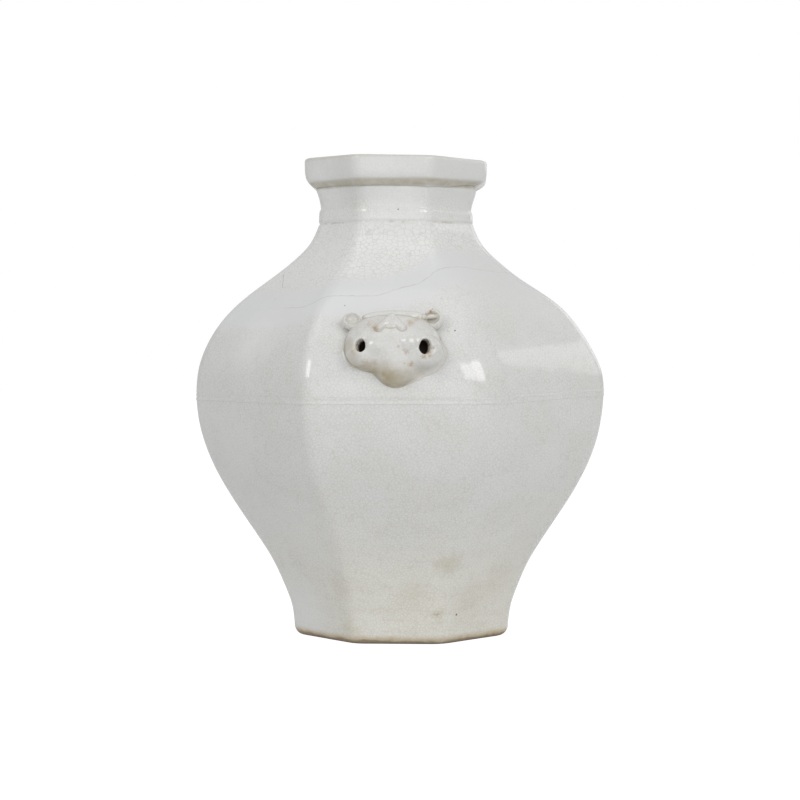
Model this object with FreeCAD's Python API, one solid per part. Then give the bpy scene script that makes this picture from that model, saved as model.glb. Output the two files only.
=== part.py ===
import FreeCAD, Part
import math
import os

# An eight-sided porcelain jar with a beast mask on its front and back.
# It stands on its foot ring, centred on the origin, mouth up and front mask towards -Y.
# The potter luted it together from moulded sections, strips, coils and modelled pellets,
# and each of those is one solid here. All lengths are millimetres.

# Heights above the table, and the rises that stack the collar, neck and lip on what carries them
foot_ring_height = 9.0
collar_rise = 11.0
collar_height = foot_ring_height + collar_rise
belly_height = 171.0
neck_base_height = 293.5
waist_rise = 9.0
waist_height = neck_base_height + waist_rise
neck_flare_rise = 17.0
lip_base_height = waist_height + neck_flare_rise
lip_rise = 20.5
jar_height = lip_base_height + lip_rise

# Half widths, from the axis to the middle of a facet, and the steps between them
foot_half_width = 77.0
collar_flare = 1.5
collar_half_width = foot_half_width + collar_flare
belly_half_width = 143.0
neck_base_half_width = 55.5
waist_pinch = 1.5
waist_half_width = neck_base_half_width - waist_pinch
neck_flare = 3.8
neck_top_half_width = waist_half_width + neck_flare
mouth_step = 2.3
mouth_half_width = neck_top_half_width - mouth_step
lip_thickness = 9.9
lip_half_width = mouth_half_width + lip_thickness

# Roundness of the eight upright ridges
foot_corner_radius = 10.0
belly_corner_radius = 13.0
neck_corner_radius = 15.0
lip_corner_radius = 14.0
least_corner_radius = 4.0
facet_count = 8

# Clay thicknesses
wall = 7.0
slab_thickness = 8.0
foot_ring_width = 13.0
foot_edge_radius = 4.5
foot_inner_edge_radius = 1.5
lip_edge_radius = 2.6
lip_root = 1.2
lip_under_height = 6.0
tenon_height = 9.0
neck_step = 0.5

# The firing pulled the neck over to the left and left it a little out of level
neck_lean = -4.0
neck_tilt_degrees = 1.0
lean_end_share = 0.9

# Luting strip in the belly's joint, seen outside, and the coils thumbed over the joints inside
strip_height = 5.0
strip_rise = 0.5
strip_edge = 0.9
strip_depth = 3.2
coil_edge = 0.9
belly_coil_height = 13.0
belly_coil_thickness = 4.0
neck_coil_height = 9.0
neck_coil_thickness = 3.0
base_coil_size = 8.0
overrun = 20.0

# Beast mask: a hollow face pad with pellets, a tuft and cupped ears luted on above the belly
mask_rise = 38.0
mask_height = belly_height + mask_rise
face_half_width = 33.0
face_half_height = 22.5
face_rise = 16.0
face_wall = 5.0
cheek_radius = 13.5
muzzle_half_width = 15.0
muzzle_half_height = 16.0
muzzle_half_depth = 12.5
eye_radius = 9.2
eye_hole_half_width = 4.0
eye_hole_half_height = 5.4
crest_half_width = 20.0
crest_half_height = 5.0
crest_half_depth = 6.5
tuft_half_width = 8.5
tuft_half_height = 6.5
tuft_half_depth = 4.5
ear_radius = 6.6
ear_wall = 1.8
# Places on the face, as shares of its half width, half height and rise
cheek_place_shares = (0.56, -0.43, 0.15)
muzzle_place_shares = (0.067, -0.65, -0.06)
eye_place_shares = (0.65, -0.44, 0.50)
crest_place_shares = (0.0, 0.76, 0.30)
tuft_place_shares = (0.0, 0.38, 0.88)
ear_place_shares = (0.82, 0.70, 0.20)
ear_cup_share = 0.5

# Outline of the body between its named heights: shares of the height and of the change in width
lower_outline_shares = (
    (0.11, 0.085), (0.21, 0.185), (0.33, 0.345), (0.50, 0.595), (0.67, 0.811), (0.83, 0.945),
)
upper_outline_shares = (
    (0.15, 0.018), (0.29, 0.089), (0.43, 0.216), (0.57, 0.413), (0.71, 0.668), (0.80, 0.815), (0.90, 0.938),
)
# Outline of the lip: shares of the height of its underside and of its own flare
lip_outline_shares = ((0.0, 0.0), (0.5, 0.55), (1.0, 0.84), (1.8, 0.94))
coil_crown_share = 0.25
base_coil_hollow_share = 0.67

half_facet_angle = math.pi / facet_count
halvings = 50


def mix(low, high, share):
    return low + (high - low) * share


def ease(share):
    """Smooth step from 0 to 1, flat at both ends."""
    held = min(max(share, 0.0), 1.0)
    return held * held * (3.0 - 2.0 * held)


def slump(height):
    """Where the kiln left a level slice of the jar: moved sideways and a little out of level."""
    lean_end = neck_base_height * lean_end_share
    lean = neck_lean * ease((height - belly_height) / (lean_end - belly_height))
    tilt = neck_tilt_degrees * ease((height - neck_base_height) / (waist_height - neck_base_height))
    turn = FreeCAD.Rotation(FreeCAD.Vector(0, 1, 0), tilt)
    return FreeCAD.Placement(FreeCAD.Vector(lean, 0, height), turn)


def slice_at(height, half_width, corner_radius):
    """The eight-sided ring with rounded ridges, at a height, as the kiln left it."""
    flat_half = (half_width - corner_radius) * math.tan(half_facet_angle)
    arc_middle = (half_width - corner_radius) / math.cos(half_facet_angle) + corner_radius
    edges = []
    for facet in range(facet_count):
        facing = 2 * half_facet_angle * facet
        out = FreeCAD.Vector(math.cos(facing), math.sin(facing), 0)
        along = FreeCAD.Vector(-math.sin(facing), math.cos(facing), 0)
        next_facing = facing + 2 * half_facet_angle
        next_out = FreeCAD.Vector(math.cos(next_facing), math.sin(next_facing), 0)
        next_along = FreeCAD.Vector(-math.sin(next_facing), math.cos(next_facing), 0)
        ridge = facing + half_facet_angle
        start = out * half_width - along * flat_half
        end = out * half_width + along * flat_half
        crown = FreeCAD.Vector(math.cos(ridge), math.sin(ridge), 0) * arc_middle
        next_start = next_out * half_width - next_along * flat_half
        edges.append(Part.LineSegment(start, end).toShape())
        edges.append(Part.Arc(end, crown, next_start).toShape())
    ring = Part.Wire(edges)
    ring.Placement = slump(height)
    return ring


def loft(stations, ruled=False):
    """A solid through slices given as height, half width and corner radius."""
    return Part.makeLoft([slice_at(*station) for station in stations], True, ruled)


def slab_between(low, high):
    """A block wider than the jar, to keep what lies between two heights."""
    reach = belly_half_width + overrun
    block = Part.makeBox(2 * reach, 2 * reach, high - low)
    block.translate(FreeCAD.Vector(-reach, -reach, low))
    return block


def outline_points():
    """Half width and height of the body's outline, from the foot ring to the neck's base."""
    points = [(foot_half_width, foot_ring_height), (collar_half_width, collar_height)]
    for height_share, width_share in lower_outline_shares:
        points.append((
            mix(collar_half_width, belly_half_width, width_share),
            mix(collar_height, belly_height, height_share),
        ))
    points.append((belly_half_width, belly_height))
    for height_share, width_share in upper_outline_shares:
        points.append((
            mix(belly_half_width, neck_base_half_width, width_share),
            mix(belly_height, neck_base_height, height_share),
        ))
    points.append((neck_base_half_width, neck_base_height))
    return points


outline = Part.BSplineCurve()
outline.interpolate([FreeCAD.Vector(half_width, 0, height) for half_width, height in outline_points()])


def profile_at(height):
    """Half width of the body at a height, and how fast it grows going up."""
    low = outline.FirstParameter
    high = outline.LastParameter
    for _ in range(halvings):
        middle = (low + high) / 2
        if outline.value(middle).z < height:
            low = middle
        else:
            high = middle
    direction = outline.tangent(low)[0]
    return outline.value(low).x, direction.x / direction.z


def corner_at(height):
    """Radius of the ridges at a height of the body."""
    if height < belly_height:
        return mix(foot_corner_radius, belly_corner_radius, height / belly_height)
    share = (height - belly_height) / (neck_base_height - belly_height)
    return mix(belly_corner_radius, neck_corner_radius, share)


def inner_corner(corner_radius):
    return max(corner_radius - wall, least_corner_radius)


def inner_half_width(height):
    """Half width inside the wall, which is as thick square to its slope everywhere."""
    half_width, slope = profile_at(height)
    return half_width - wall * math.sqrt(1.0 + slope * slope)


def make_body():
    """Base slab, moulded lower half and moulded shoulder, cut from one continuous shell."""
    slab_top = foot_ring_height + slab_thickness
    heights = [height for _, height in outline_points()]
    outside = loft([(z, profile_at(z)[0], corner_at(z)) for z in heights])
    inside_heights = [slab_top] + [z for z in heights if z > slab_top + slab_thickness]
    cavity = loft([(z, inner_half_width(z), inner_corner(corner_at(z))) for z in inside_heights])
    shell = outside.cut(cavity)
    groove = make_groove()
    slab = shell.common(slab_between(foot_ring_height, slab_top))
    lower = shell.common(slab_between(slab_top, belly_height)).cut(groove)
    upper = shell.common(slab_between(belly_height, neck_base_height)).cut(groove)
    return outside, slab, lower, upper


def groove_core():
    """What stays inside the vee groove that is scored round the seam for the luting strip."""
    low = belly_height - strip_height / 2
    high = belly_height + strip_height / 2
    return loft([
        (low, profile_at(low)[0] - strip_edge, belly_corner_radius - strip_edge),
        (belly_height, belly_half_width - strip_depth, belly_corner_radius - strip_depth),
        (high, profile_at(high)[0] - strip_edge, belly_corner_radius - strip_edge),
    ], ruled=True)


def make_groove():
    low = belly_height - strip_height / 2
    high = belly_height + strip_height / 2
    return slab_between(low, high).cut(groove_core())


def make_strip():
    """The strip of soft clay in the seam's groove, wiped almost flush outside."""
    low = belly_height - strip_height / 2
    high = belly_height + strip_height / 2
    edge_rise = strip_rise / 2
    crown = loft([
        (low, profile_at(low)[0] + edge_rise, belly_corner_radius),
        (belly_height, belly_half_width + strip_rise, belly_corner_radius),
        (high, profile_at(high)[0] + edge_rise, belly_corner_radius),
    ])
    return crown.cut(groove_core())


def throat_half_width(height):
    """Half width inside the shoulder, and inside the lower part of the neck."""
    if height < neck_base_height:
        return inner_half_width(height)
    share = (height - neck_base_height) / (waist_height - neck_base_height)
    return mix(inner_half_width(neck_base_height), waist_half_width - wall, share)


def make_inner_coil(height, coil_height, thickness, half_width_at, radius, walls):
    """A coil thumbed over a joint on the inside, flat-backed against the walls it seals."""
    low = height - coil_height / 2
    high = height + coil_height / 2
    crown = coil_height * coil_crown_share
    hollow = loft([
        (low, half_width_at(low) - coil_edge, radius),
        (height - crown, half_width_at(height - crown) - thickness, radius),
        (height + crown, half_width_at(height + crown) - thickness, radius),
        (high, half_width_at(high) - coil_edge, radius),
    ])
    blank_half_width = max(half_width_at(low), half_width_at(high), half_width_at(height)) + wall / 2
    blank_radius = radius + wall / 2
    blank = loft([(low, blank_half_width, blank_radius), (high, blank_half_width, blank_radius)])
    coil = blank.cut(hollow)
    for piece in walls:
        coil = coil.cut(piece)
    return coil


def make_base_coil(slab, lower):
    """The coil in the corner between the base slab and the wall."""
    low = foot_ring_height + slab_thickness
    high = low + base_coil_size
    middle = low + base_coil_size / 2
    radius = inner_corner(foot_corner_radius)
    hollow = loft([
        (low, inner_half_width(low) - base_coil_size, radius),
        (middle, inner_half_width(middle) - base_coil_size * (1 - base_coil_hollow_share), radius),
        (high, inner_half_width(high) - coil_edge, radius),
    ])
    blank_half_width = inner_half_width(high) + wall / 2
    blank = loft([(low, blank_half_width, foot_corner_radius), (high, blank_half_width, foot_corner_radius)])
    return blank.cut(hollow).cut(lower).cut(slab)


def make_foot_ring():
    """The foot ring that the jar stands on, with its outer edge worn round."""
    inner_side = foot_half_width - foot_ring_width
    inner_radius = max(foot_corner_radius - foot_ring_width, least_corner_radius)
    top_radius = corner_at(foot_ring_height)
    outside = loft([
        (0, foot_half_width, foot_corner_radius),
        (foot_ring_height, foot_half_width, top_radius),
    ])
    hollow = loft([(0, inner_side, inner_radius), (foot_ring_height, inner_side, inner_radius)])
    ring = outside.cut(hollow)
    middle = foot_half_width - foot_ring_width / 2
    inner_edges = [edge for edge in standing_face(ring).Edges if reach_of(edge) < middle]
    ring = ring.makeFillet(foot_inner_edge_radius, inner_edges)
    outer_edges = [edge for edge in standing_face(ring).Edges if reach_of(edge) > middle]
    return ring.makeFillet(foot_edge_radius, outer_edges)


def standing_face(solid):
    """The lowest face of a solid."""
    return min(solid.Faces, key=lambda face: face.CenterOfMass.z)


def reach_of(edge):
    """How far an edge's middle lies from the jar's axis."""
    middle = edge.valueAt((edge.FirstParameter + edge.LastParameter) / 2)
    return math.hypot(middle.x, middle.y)


def make_throat():
    """The space inside the neck and lip."""
    corner = inner_corner(neck_corner_radius)
    return loft([
        (neck_base_height, inner_half_width(neck_base_height), corner),
        (waist_height, waist_half_width - wall, corner),
        (lip_base_height, neck_top_half_width - wall, corner),
        (jar_height, mouth_half_width, inner_corner(lip_corner_radius)),
    ])


def make_neck_and_lip():
    """The neck, whose upper end is a tenon inside the lip, and the lip strip wrapped round it."""
    throat = make_throat()
    neck = loft([
        (neck_base_height, neck_base_half_width - neck_step, neck_corner_radius),
        (waist_height, waist_half_width, neck_corner_radius),
        (lip_base_height, neck_top_half_width, neck_corner_radius),
    ], ruled=True)
    tenon_top = lip_base_height + tenon_height
    tenon = loft([
        (lip_base_height, neck_top_half_width, neck_corner_radius),
        (tenon_top, neck_top_half_width, neck_corner_radius),
    ], ruled=True)
    root = neck_top_half_width + lip_root
    stations = []
    for height_share, width_share in lip_outline_shares:
        stations.append((
            lip_base_height + lip_under_height * height_share,
            mix(root, lip_half_width, width_share),
            lip_corner_radius,
        ))
    stations.append((jar_height, lip_half_width, lip_corner_radius))
    lip = loft(stations).cut(tenon).cut(throat)
    lip = lip.makeFillet(lip_edge_radius, top_edges(lip))
    return neck.fuse(tenon).removeSplitter().cut(throat), lip


def top_edges(solid):
    """The edges of a solid's upper face."""
    highest = max(solid.Faces, key=lambda face: face.CenterOfMass.z)
    return highest.Edges


def ellipsoid(center, half_sizes):
    """A sphere stretched to three half sizes, at a place in the mask's own frame."""
    stretch = FreeCAD.Matrix()
    stretch.scale(FreeCAD.Vector(*half_sizes))
    form = Part.makeSphere(1.0).transformGeometry(stretch)
    form.translate(FreeCAD.Vector(*center))
    return form


def ball(center, radius):
    sphere = Part.makeSphere(radius)
    sphere.translate(FreeCAD.Vector(*center))
    return sphere


def on_face(shares, side=1):
    """A place on the mask, from its shares of the face's half width, half height and rise."""
    across, up, out = shares
    return side * across * face_half_width, up * face_half_height, out * face_rise


def mask_frame(half_turns):
    """The mask's frame: x to the right, y up along the wall, z straight out of it."""
    half_width, slope = profile_at(mask_height)
    lean = slump(mask_height).Base.x
    lying_back = math.degrees(math.atan(-slope))
    stand_up = FreeCAD.Rotation(FreeCAD.Vector(1, 0, 0), 90 - lying_back)
    front = FreeCAD.Placement(FreeCAD.Vector(0, -half_width, mask_height), stand_up)
    half_circle = FreeCAD.Rotation(FreeCAD.Vector(0, 0, 1), 180 * half_turns)
    return FreeCAD.Placement(FreeCAD.Vector(lean, 0, 0), half_circle).multiply(front)


def face_form(shrink):
    """The face pad as a filled form: a low dome with two cheeks, shrunk to leave a wall."""
    form = ellipsoid((0, 0, 0), (face_half_width - shrink, face_half_height - shrink, face_rise - shrink))
    for side in (-1, 1):
        form = form.fuse(ball(on_face(cheek_place_shares, side), cheek_radius - shrink))
    return form


def eye_hole(side):
    """The oval hole pushed through an eye into the hollow behind the face."""
    stretch = FreeCAD.Matrix()
    stretch.scale(FreeCAD.Vector(eye_hole_half_width, eye_hole_half_height, face_rise + eye_radius))
    hole = Part.makeCylinder(1.0, 1.0).transformGeometry(stretch)
    across, up, out = on_face(eye_place_shares, side)
    hole.translate(FreeCAD.Vector(across, up, out - face_wall))
    return hole


def make_mask(name, half_turns, body):
    """The pieces of one mask, each trimmed by what it is luted to."""
    holes = {"left": eye_hole(-1), "right": eye_hole(1)}
    face_solid = face_form(0)
    muzzle_half_sizes = (muzzle_half_width, muzzle_half_height, muzzle_half_depth)
    muzzle = ellipsoid(on_face(muzzle_place_shares), muzzle_half_sizes)
    tuft = ellipsoid(on_face(tuft_place_shares), (tuft_half_width, tuft_half_height, tuft_half_depth))
    crest = ellipsoid(on_face(crest_place_shares), (crest_half_width, crest_half_height, crest_half_depth))
    pieces = {"face": face_solid.cut(face_form(face_wall)).cut(holes["left"]).cut(holes["right"])}
    pieces["muzzle"] = muzzle.cut(face_solid).cut(holes["left"]).cut(holes["right"])
    taken = face_solid.fuse(muzzle)
    pieces["tuft"] = tuft.cut(taken)
    taken = taken.fuse(tuft)
    pieces["crest"] = crest.cut(taken)
    taken = taken.fuse(crest)
    for side_name, side in (("left", -1), ("right", 1)):
        eye = ball(on_face(eye_place_shares, side), eye_radius)
        pieces[side_name + "_eye"] = eye.cut(taken).cut(holes[side_name])
        across, up, out = on_face(ear_place_shares, side)
        cup = ball((across, up, out + ear_radius * ear_cup_share), ear_radius - ear_wall)
        ear = ball((across, up, out), ear_radius).cut(cup)
        pieces[side_name + "_ear"] = ear.cut(taken).cut(eye)
    placement = mask_frame(half_turns)
    for piece_name, piece in pieces.items():
        piece.Placement = placement
        export(name + "_mask_" + piece_name, largest_solid(piece.cut(body)))


def largest_solid(shape):
    """What is left of a trimmed pellet, without crumbs."""
    return max(shape.Solids, key=lambda solid: solid.Volume)


def export(name, shape):
    assert shape.isValid() and shape.Solids, name
    print(f"{name}: {len(shape.Solids)} solid, {shape.Volume / 1000:.1f} cm3")
    shape.exportStep(os.path.join("parts", name + ".step"))


def main():
    os.makedirs("parts", exist_ok=True)
    body, slab, lower, upper = make_body()
    neck, lip = make_neck_and_lip()
    export("foot_ring", make_foot_ring())
    export("base_slab", slab)
    export("lower_body", lower)
    export("shoulder", upper)
    export("belly_luting_strip", make_strip())
    export("neck", neck)
    export("lip", lip)
    export("base_inner_coil", make_base_coil(slab, lower))
    export("belly_inner_coil", make_inner_coil(
        belly_height, belly_coil_height, belly_coil_thickness,
        inner_half_width, inner_corner(belly_corner_radius), (lower, upper)))
    export("neck_inner_coil", make_inner_coil(
        neck_base_height, neck_coil_height, neck_coil_thickness,
        throat_half_width, inner_corner(neck_corner_radius), (upper, neck)))
    for name, half_turns in (("front", 0), ("back", 1)):
        make_mask(name, half_turns, body)


main()
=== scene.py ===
import math

import bpy
import numpy as np
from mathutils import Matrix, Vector


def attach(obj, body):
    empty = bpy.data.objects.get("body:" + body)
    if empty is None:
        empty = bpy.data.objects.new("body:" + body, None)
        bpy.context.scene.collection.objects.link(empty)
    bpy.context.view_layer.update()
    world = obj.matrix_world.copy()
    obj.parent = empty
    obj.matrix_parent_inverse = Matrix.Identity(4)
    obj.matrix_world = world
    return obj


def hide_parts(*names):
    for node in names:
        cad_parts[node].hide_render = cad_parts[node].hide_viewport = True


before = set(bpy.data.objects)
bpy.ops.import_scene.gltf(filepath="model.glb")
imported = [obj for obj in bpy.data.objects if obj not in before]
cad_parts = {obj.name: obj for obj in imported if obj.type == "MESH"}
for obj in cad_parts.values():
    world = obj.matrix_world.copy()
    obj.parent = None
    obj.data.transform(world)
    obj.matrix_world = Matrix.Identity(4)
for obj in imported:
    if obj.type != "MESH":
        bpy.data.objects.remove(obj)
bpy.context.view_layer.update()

# Eight-sided crackle-glazed porcelain jar with a pierced beast mask on its front and back.
# Lengths in the dictionaries are millimetres: mm turns them into Blender's metres, and toMm back.
mm = 0.001
toMm = 1000.0
facets = 8
facetTurn = 2 * math.pi / facets
halfFacet = facetTurn / 2


# Node trees, written as expressions: sums and products of wires add their own maths nodes

class Wire:
    # one output of a node
    def __init__(self, net, socket):
        self.net = net
        self.socket = socket
        self.isVector = socket.type in ("VECTOR", "RGBA")

    def __add__(self, other):
        return self.net.maths("ADD", self, other)

    def __radd__(self, other):
        return self.net.maths("ADD", other, self)

    def __sub__(self, other):
        return self.net.maths("SUBTRACT", self, other)

    def __rsub__(self, other):
        return self.net.maths("SUBTRACT", other, self)

    def __mul__(self, other):
        return self.net.maths("MULTIPLY", self, other)

    def __rmul__(self, other):
        return self.net.maths("MULTIPLY", other, self)

    def __truediv__(self, other):
        return self.net.maths("DIVIDE", self, other)

    def __rtruediv__(self, other):
        return self.net.maths("DIVIDE", other, self)

    def __pow__(self, other):
        return self.net.maths("POWER", self, other)

    def __neg__(self):
        return self.net.maths("MULTIPLY", self, -1.0)

    def __lt__(self, other):
        return self.net.maths("LESS_THAN", self, other)

    def __gt__(self, other):
        return self.net.maths("GREATER_THAN", self, other)

    def smallest(self, *others):
        return self.net.chain("MINIMUM", self, *others)

    def largest(self, *others):
        return self.net.chain("MAXIMUM", self, *others)


class Net:
    # one node tree being written
    def __init__(self, tree):
        self.tree = tree

    def put(self, kind, settings=None, sockets=None):
        # a new node: its settings come first, then the values or links of its sockets
        made = self.tree.nodes.new(kind)
        for name, value in (settings or {}).items():
            if name == "curve":
                self.setCurve(made.mapping, value)
            else:
                setattr(made, name, value)
        for key, value in (sockets or {}).items():
            self.feed(self.pick(made.inputs, key), value)
        return made

    def node(self, kind, settings=None, sockets=None, out=0):
        # the same, as the wire of one of its outputs
        return Wire(self, self.pick(self.put(kind, settings, sockets).outputs, out))

    def pick(self, sockets, key):
        shown = [socket for socket in sockets if socket.enabled]
        if isinstance(key, int):
            return shown[key]
        return next(socket for socket in shown if socket.name == key)

    def feed(self, socket, value):
        if isinstance(value, Wire):
            self.tree.links.new(value.socket, socket)
        elif socket.type == "VECTOR" and isinstance(value, (int, float)):
            socket.default_value = (value, value, value)
        elif socket.type == "RGBA" and len(value) == 3:
            socket.default_value = (*value, 1.0)
        else:
            socket.default_value = value

    def setCurve(self, mapping, points):
        curve = mapping.curves[0]
        while len(curve.points) > 2:
            curve.points.remove(curve.points[1])
        curve.points[0].location = points[0]
        curve.points[1].location = points[-1]
        for point in points[1:-1]:
            curve.points.new(*point)
        mapping.update()

    def maths(self, operation, *values):
        onVectors = any(isinstance(value, Wire) and value.isVector for value in values)
        kind = "ShaderNodeVectorMath" if onVectors else "ShaderNodeMath"
        return self.node(kind, {"operation": operation}, dict(enumerate(values)))

    def chain(self, operation, first, *others):
        for other in others:
            first = self.maths(operation, first, other)
        return first

    def clamp(self, value, low=0.0, high=1.0):
        return self.maths("MAXIMUM", self.maths("MINIMUM", value, high), low)

    def ramp(self, value, start, end, low=0.0, high=1.0):
        # eased from low to high while value goes from start to end
        return self.node("ShaderNodeMapRange", {"interpolation_type": "SMOOTHSTEP"}, {
            "Value": value, "From Min": start, "From Max": end, "To Min": low, "To Max": high})

    def mix(self, share, first, second):
        kind = "FLOAT"
        for value in (first, second):
            if isinstance(value, (tuple, list)) or (isinstance(value, Wire) and value.isVector):
                kind = "RGBA"
        return self.node("ShaderNodeMix", {"data_type": kind, "clamp_factor": True},
                         {"Factor": share, "A": first, "B": second})

    def noise(self, vector, size, detail=2.0, roughness=0.5, out=0):
        # size is the width of its lumps, in the vector's own unit
        return self.node("ShaderNodeTexNoise", {"noise_dimensions": "3D"}, {
            "Vector": vector, "Scale": 1.0 / size, "Detail": detail, "Roughness": roughness}, out)

    def attribute(self, name, out="Fac"):
        return self.node("ShaderNodeAttribute", {"attribute_name": name}, None, out)

    def split(self, vector):
        made = self.put("ShaderNodeSeparateXYZ", None, {0: vector})
        return [Wire(self, socket) for socket in made.outputs]

    def join(self, x, y, z):
        return self.node("ShaderNodeCombineXYZ", None, {0: x, 1: y, 2: z})


def stage(text):
    print("jar:", text)


# Outline of the body, shared by its pieces

bodyShape = {
    "footRingTop": 9.0,
    "slabTop": 17.0,
    "collarHeight": 20.0,
    "bellyHeight": 171.0,
    "neckBase": 293.5,
    "footHalf": 77.0,
    "collarHalf": 78.5,
    "bellyHalf": 143.0,
    "neckBaseHalf": 55.5,
    "lowerShares": [(0.11, 0.085), (0.21, 0.185), (0.33, 0.345), (0.50, 0.595), (0.67, 0.811), (0.83, 0.945)],
    "upperShares": [(0.15, 0.018), (0.29, 0.089), (0.43, 0.216), (0.57, 0.413), (0.71, 0.668),
                    (0.80, 0.815), (0.90, 0.938)],
    "wall": 7.0,
    "footCorner": 16.0,
    "bellyCorner": 13.0,
    "neckCorner": 15.0,
    "lipCorner": 14.0,
    "leastCorner": 4.0,
    "jointRound": 0.1,         # the edges of the pieces are just off sharp where they meet
    "jointSteps": 3,
    "rowSpacing": 2.6,
    "endRows": (0.35, 1.0),    # a long stretch also has rows this close to its ends
    "longStretch": 3.0,
}

firing = {
    "lean": -4.0,              # the neck leans to the left
    "leanStart": 171.0,
    "leanEnd": 264.15,
    "tiltDegrees": 1.0,        # and the mouth is a little out of level
    "tiltStart": 293.5,
    "tiltEnd": 302.5,
    "uneven": 0.8,             # how far the walls wander
    "unevenSize": 62.0,
    "unevenInset": 0.25,       # the share of it that keeps them inside the outline
    "stillReach": 40.0,        # near the axis they wander less
    "ripple": 0.16,            # smaller paddle and scraper marks
    "rippleSize": 17.0,
    "softRidge": 32.0,         # the ridge right of the front was rubbed rounder than the rest
    "softRidgeIndex": 6.0,
    "softRidgeGrows": (60.0, 125.0),
    "bulge": 2.2,              # a push from inside on the right shoulder
    "bulgePlace": (106.0, -42.0, 238.0),
    "bulgeReach": 34.0,
    "sagPower": 3.0,           # a sagging edge hangs from the facets' middles down to the ridges
    "lipLift": 4.6,            # the lip's lower edge was wiped up on the right: times its sag
    "lipLiftGrows": (0.6, 0.95),
    "climb": 4.2,              # how far the seam climbs at the far right
    "climbReach": 34.0,        # above and below the seam
    "climbGrows": (50.0, 165.0),
}

sweep = {
    "steps": 336,              # columns round the jar
    "ridgeCrowding": 0.078,    # draws the columns together at the ridges
    "mergeDistance": 0.005,
    "sharpDegrees": 38.0,      # an edge that turns more than this is shaded sharp
}


def mixed(low, high, share):
    return low + (high - low) * share


def outlineKnots():
    shape = bodyShape
    knots = [(shape["footHalf"], shape["footRingTop"]), (shape["collarHalf"], shape["collarHeight"])]
    for up, out in shape["lowerShares"]:
        knots.append((mixed(shape["collarHalf"], shape["bellyHalf"], out),
                      mixed(shape["collarHeight"], shape["bellyHeight"], up)))
    knots.append((shape["bellyHalf"], shape["bellyHeight"]))
    for up, out in shape["upperShares"]:
        knots.append((mixed(shape["bellyHalf"], shape["neckBaseHalf"], out),
                      mixed(shape["bellyHeight"], shape["neckBase"], up)))
    knots.append((shape["neckBaseHalf"], shape["neckBase"]))
    return np.array(knots)


def splineThrough(knots, perSpan=40):
    # natural cubic spline by chord length
    span = np.linalg.norm(np.diff(knots, axis=0), axis=1)
    count = len(knots)
    system = np.eye(count)
    wanted = np.zeros((count, knots.shape[1]))
    for row in range(1, count - 1):
        system[row, row - 1:row + 2] = (span[row - 1], 2 * (span[row - 1] + span[row]), span[row])
        wanted[row] = 6 * ((knots[row + 1] - knots[row]) / span[row]
                           - (knots[row] - knots[row - 1]) / span[row - 1])
    curving = np.linalg.solve(system, wanted)
    points = []
    for row in range(count - 1):
        for share in np.linspace(0, 1, perSpan, endpoint=False):
            after = 1 - share
            rise = (after ** 3 - after) * curving[row] + (share ** 3 - share) * curving[row + 1]
            points.append(after * knots[row] + share * knots[row + 1] + rise * span[row] ** 2 / 6)
    points.append(knots[-1])
    return np.array(points)


outlineTable = splineThrough(outlineKnots())
slopeTable = np.gradient(outlineTable[:, 0], outlineTable[:, 1])


def halfAt(height):
    return float(np.interp(height, outlineTable[:, 1], outlineTable[:, 0]))


def innerHalfAt(height):
    slope = float(np.interp(height, outlineTable[:, 1], slopeTable))
    return halfAt(height) - bodyShape["wall"] * math.sqrt(1 + slope * slope)


def cornerAt(height):
    shape = bodyShape
    if height < shape["bellyHeight"]:
        return mixed(shape["footCorner"], shape["bellyCorner"], height / shape["bellyHeight"])
    share = (height - shape["bellyHeight"]) / (shape["neckBase"] - shape["bellyHeight"])
    return mixed(shape["bellyCorner"], shape["neckCorner"], min(share, 1.0))


def innerCorner(corner):
    return max(corner - bodyShape["wall"], bodyShape["leastCorner"])


def rows(start, end, spacing=bodyShape["rowSpacing"]):
    # heights from start to end, closer together at the ends of a long stretch
    reach = abs(end - start)
    way = 1 if end > start else -1
    heights = list(np.linspace(start, end, max(2, round(reach / spacing)) + 1))
    if reach > bodyShape["longStretch"]:
        for step in bodyShape["endRows"]:
            heights += [start + way * step, end - way * step]
    return sorted(set(heights), reverse=end < start)


def outer(half, height, corner, sag=0.0):
    # a row of a shell: half width, height, ridge radius, 1 where it is inside the jar, and how it sags
    return (half, height, corner, 0.0, sag)


def inner(half, height, corner):
    return (half, height, corner, 1.0, 0.0)


def outsideRows(low, high):
    return [outer(halfAt(z), z, cornerAt(z)) for z in rows(low, high)]


def insideRows(high, low):
    return [inner(innerHalfAt(z), z, innerCorner(cornerAt(z))) for z in rows(high, low)]


def bend(center, radius, start, end, steps, corner):
    # a rounded edge of a profile, between two angles in degrees
    points = []
    for step in range(steps + 1):
        angle = math.radians(mixed(start, end, step / steps))
        half, height = center[0] + radius * math.cos(angle), center[1] + radius * math.sin(angle)
        points.append(outer(half, height, corner))
    return points


def lowerEdge(half, height, corner):
    joint = bodyShape["jointRound"]
    return bend((half - joint, height + joint), joint, -90, 0, bodyShape["jointSteps"], corner)


def upperEdge(half, height, corner):
    joint = bodyShape["jointRound"]
    return bend((half - joint, height - joint), joint, 0, 90, bodyShape["jointSteps"], corner)


def wallWander(net, level, given):
    # how far a wall stands out of true, the same for every piece that meets there
    wander = net.noise(level, firing["unevenSize"] * mm, 1.0) - 0.5
    ripple = net.noise(level, firing["rippleSize"] * mm, 1.0) - 0.5
    away = net.maths("LENGTH", level - tuple(value * mm for value in firing["bulgePlace"]))
    bulge = net.ramp(away, firing["bulgeReach"] * mm, 0.0) * given["Bulge"]
    return (wander - firing["unevenInset"]) * given["Uneven"] + ripple * given["Ripple"] + bulge


# Geometry trees: their named inputs and output, and the steps that they share

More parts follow.
